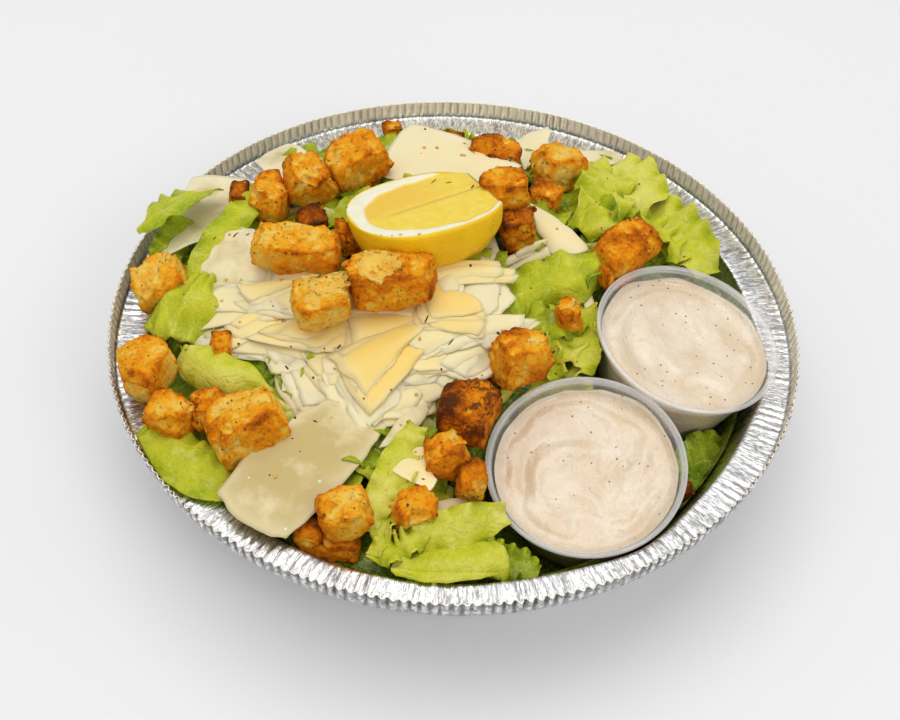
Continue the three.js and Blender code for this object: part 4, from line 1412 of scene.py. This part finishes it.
def buildBed(finish):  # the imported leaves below, a rough dark floor for the loose ones
    rings = []
    angle = np.linspace(0, 2 * pi, 160, endpoint=False)
    outer = np.concatenate([np.linspace(3, 82, 10), np.linspace(84, 89, 4)])
    under = [(r, 1.4) for r in outer]
    side = [(90.5 + (z - 7) * 0.335, z) for z in np.linspace(7, 31, 9)]
    top = np.linspace(98.0, 3, 62)
    for r, z in under + side:
        rings.append(np.stack([r * np.cos(angle), r * np.sin(angle), z + 0 * angle], -1))
    for r in top:
        x, y = r * np.cos(angle), r * np.sin(angle)
        flat = np.stack([x, y, 0 * x], -1)
        z = leafTop(x, y) - bed["drop"] + 2.6 * rough(flat, 11, 31, 3)
        hole = ease(4, -5, cupDistance(x, y))
        z = z * (1 - hole) + 6 * hole
        corner = ease(17, 12, hollowDistance(x, y))
        z = z * (1 - corner) + 2.2 * corner
        inward = 1 - 0.095 * corner * ease(75, 98, r)
        rings.append(np.stack([x * inward, y * inward, np.maximum(z, 2.2)], -1))
    points, faces = turnedBody(rings)
    points = withinTray(points)
    plain = np.zeros(len(points))
    marks = {"green": plain + 0.9, "rib": plain, "crest": plain + 0.4}
    marks.update(along=points[:, 0], across=points[:, 1])
    addPiece("leafBed", points, faces, finish, marks, nodes=["lettuce_heap"], slot="leaf")


def buildLeaves():
    finish = leafFinish()
    buildBed(finish)
    for number, (name, spot) in enumerate(leaves.items()):
        points, faces, marks = leafSheet(seed=number + 11, **spot)
        addPiece("leaf" + name[0].upper() + name[1:], points, faces, finish, marks, slot="leaf")
    pick = np.random.default_rng(bed["seed"])
    batch = Batch()
    made = 0
    while made < bed["fillers"] + bed["edge"]:
        atEdge = made >= bed["fillers"]  # the last ones line the wall at the back
        r, a = 93 * pick.uniform(0, 1) ** 0.55, pick.uniform(0, 2 * pi)
        if atEdge:
            r, a = pick.uniform(86, 91), pick.uniform(0.15, 1.05) * pi
        x, y = r * cos(a), r * sin(a)
        length, width = pick.uniform(20, 36), pick.uniform(12, 22)
        if cupDistance(x, y) < width / 2 or hollowDistance(x, y) < 19:
            continue
        heading = a + pi / 2 + pick.uniform(-0.4, 0.4) if atEdge else pick.uniform(0, 2 * pi)
        dx, dy = length / 2 * cos(heading), length / 2 * sin(heading)
        ends = [(x - dx, y - dy), (x, y), (x + dx, y + dy)]
        if max(hypot(*end) for end in ends) > 98 or min(cupDistance(*end) for end in ends) < width / 2:
            continue
        top = pick.uniform(-6.5, -1.0)
        spine = [(ex, ey, leafTop(ex, ey) + top + lift) for (ex, ey), lift in zip(ends, (-2.5, 0.6, -2.5))]
        shape = {
            "width": width,
            "roll": pick.uniform(-28, 28),
            "frill": pick.uniform(1.0, 2.6),
            "waves": pick.uniform(2, 4),
            "cupping": pick.uniform(-2, 2),
        }
        if pick.uniform() < 0.35:
            shape["ribWide"] = pick.uniform(1.0, 2.2)
        green, seed = pick.uniform(0.2, 0.8), int(pick.integers(1, 9999))
        points, faces, marks = leafSheet(green, spine=spine, seed=seed, rows=21, columns=13, **shape)
        batch.add(points, faces, marks)
        made += 1
    batch.build("looseLeaves", finish, slot="leaf")


buildLeaves()
print("stage: lettuce")

bits = {"seed": 5, "crumbs": 110, "herbs": 45, "pepper": 60}
herbSpots = [  # where, and how long
    (-9, 35, 1.9), (-4, 33, 1.5), (4, 29, 1.2), (-47, -12, 1.2),
    (-36, -30, 1.3), (-9, -22, 1.6), (-1, -28, 1.4), (-75, 16, 1.4),
]


def topTree():  # everything built so far, to let small things down onto
    points, faces, count = [], [], 0
    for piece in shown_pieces():
        if piece.name.startswith(("foilTray", "cup")) or not len(piece.data.attributes):
            continue
        here = np.empty(len(piece.data.vertices) * 3)
        piece.data.vertices.foreach_get("co", here)
        points.append(here.reshape(-1, 3) / mm)
        faces += [[v + count for v in face.vertices] for face in piece.data.polygons]
        count += len(piece.data.vertices)
    return BVHTree.FromPolygons(np.concatenate(points).tolist(), faces)


def bitFinish(name, low, high, roughness):
    paint = Finish(name)
    tone = paint.noise(paint.place(), 1.4, 2)
    values = {
        "Base Color": paint.ramp(tone, [(0.35, low), (0.65, high)]),
        "Roughness": roughness + 0.2 * tone,
        "Normal": paint.bump(paint.noise(paint.place(), 0.4, 2), 0.1, 0.8),
    }
    return paint.surface(values)


def lump(size, flat, seed):  # a small uneven grain, flattened in z
    around, down = np.linspace(0, 2 * pi, 8, endpoint=False), np.linspace(0.35, pi - 0.35, 5)
    rings = [[(sin(t) * cos(a), sin(t) * sin(a), cos(t) * flat) for a in around] for t in down]
    rings = np.array(rings) * size / 2
    spots = rings.reshape(-1, 3)
    return rings * (1 + 0.35 * rough(spots, size * 0.6, seed, 1).reshape(rings.shape[:2])[..., None])


def scatter(name, finish, spots, flat, tree, pick):
    batch = Batch()
    for x, y, size, stretch in spots:
        hit, normal, _, _ = tree.ray_cast(Vector((x, y, 150)), Vector((0, 0, -1)))
        if hit is None or normal is None or hit.z < 30:
            continue
        normal = normal if normal.z > 0 else -normal
        seed = int(pick.integers(1, 9999))
        points, faces = turnedBody(lump(size, flat, seed) * np.array([stretch, 1, 1]))
        twist = Matrix.Rotation(pick.uniform(0, 2 * pi), 3, "Z")
        turn = np.array(Vector((0, 0, 1)).rotation_difference(normal).to_matrix() @ twist)
        points = points @ turn.T + np.array(hit + normal * size * flat * 0.25)
        batch.add(points, faces, {"grain": np.full(len(points), pick.uniform())})
    batch.build(name, finish)


def buildBits():
    tree = topTree()
    pick = np.random.default_rng(bits["seed"])

    def around(count, low, high, stretch, spread=92):  # places clear of the cups and the lemon
        middleX, middleY, _ = lemon["middle"]
        out = []
        while len(out) < count:
            r, a = spread * pick.uniform() ** 0.5, pick.uniform(0, 2 * pi)
            x, y = r * cos(a), r * sin(a)
            if cupDistance(x, y) > 1.5 and hypot(x - middleX, (y - middleY) * 1.2) > 25:
                out.append((x, y, pick.uniform(low, high), pick.uniform(1, stretch)))
        return out

    crumb = bitFinish("toastCrumb", (0.60, 0.24, 0.02), (0.93, 0.58, 0.14), 0.6)
    herb = bitFinish("driedHerb", (0.02, 0.03, 0.006), (0.07, 0.09, 0.02), 0.5)
    pepper = bitFinish("groundPepper", (0.02, 0.012, 0.006), (0.10, 0.05, 0.02), 0.5)
    scatter("crumbs", crumb, around(bits["crumbs"], 0.4, 1.3, 1.5), 0.8, tree, pick)
    picked = [(x, y, 0.55, 3.4 * size) for x, y, size in herbSpots]
    scatter("herbs", herb, picked + around(bits["herbs"], 0.4, 0.75, 3.0), 0.35, tree, pick)
    scatter("pepper", pepper, around(bits["pepper"], 0.35, 0.8, 1.4), 0.8, tree, pick)


buildBits()
print("stage: crumbs, herbs and pepper")

print("stage: done")
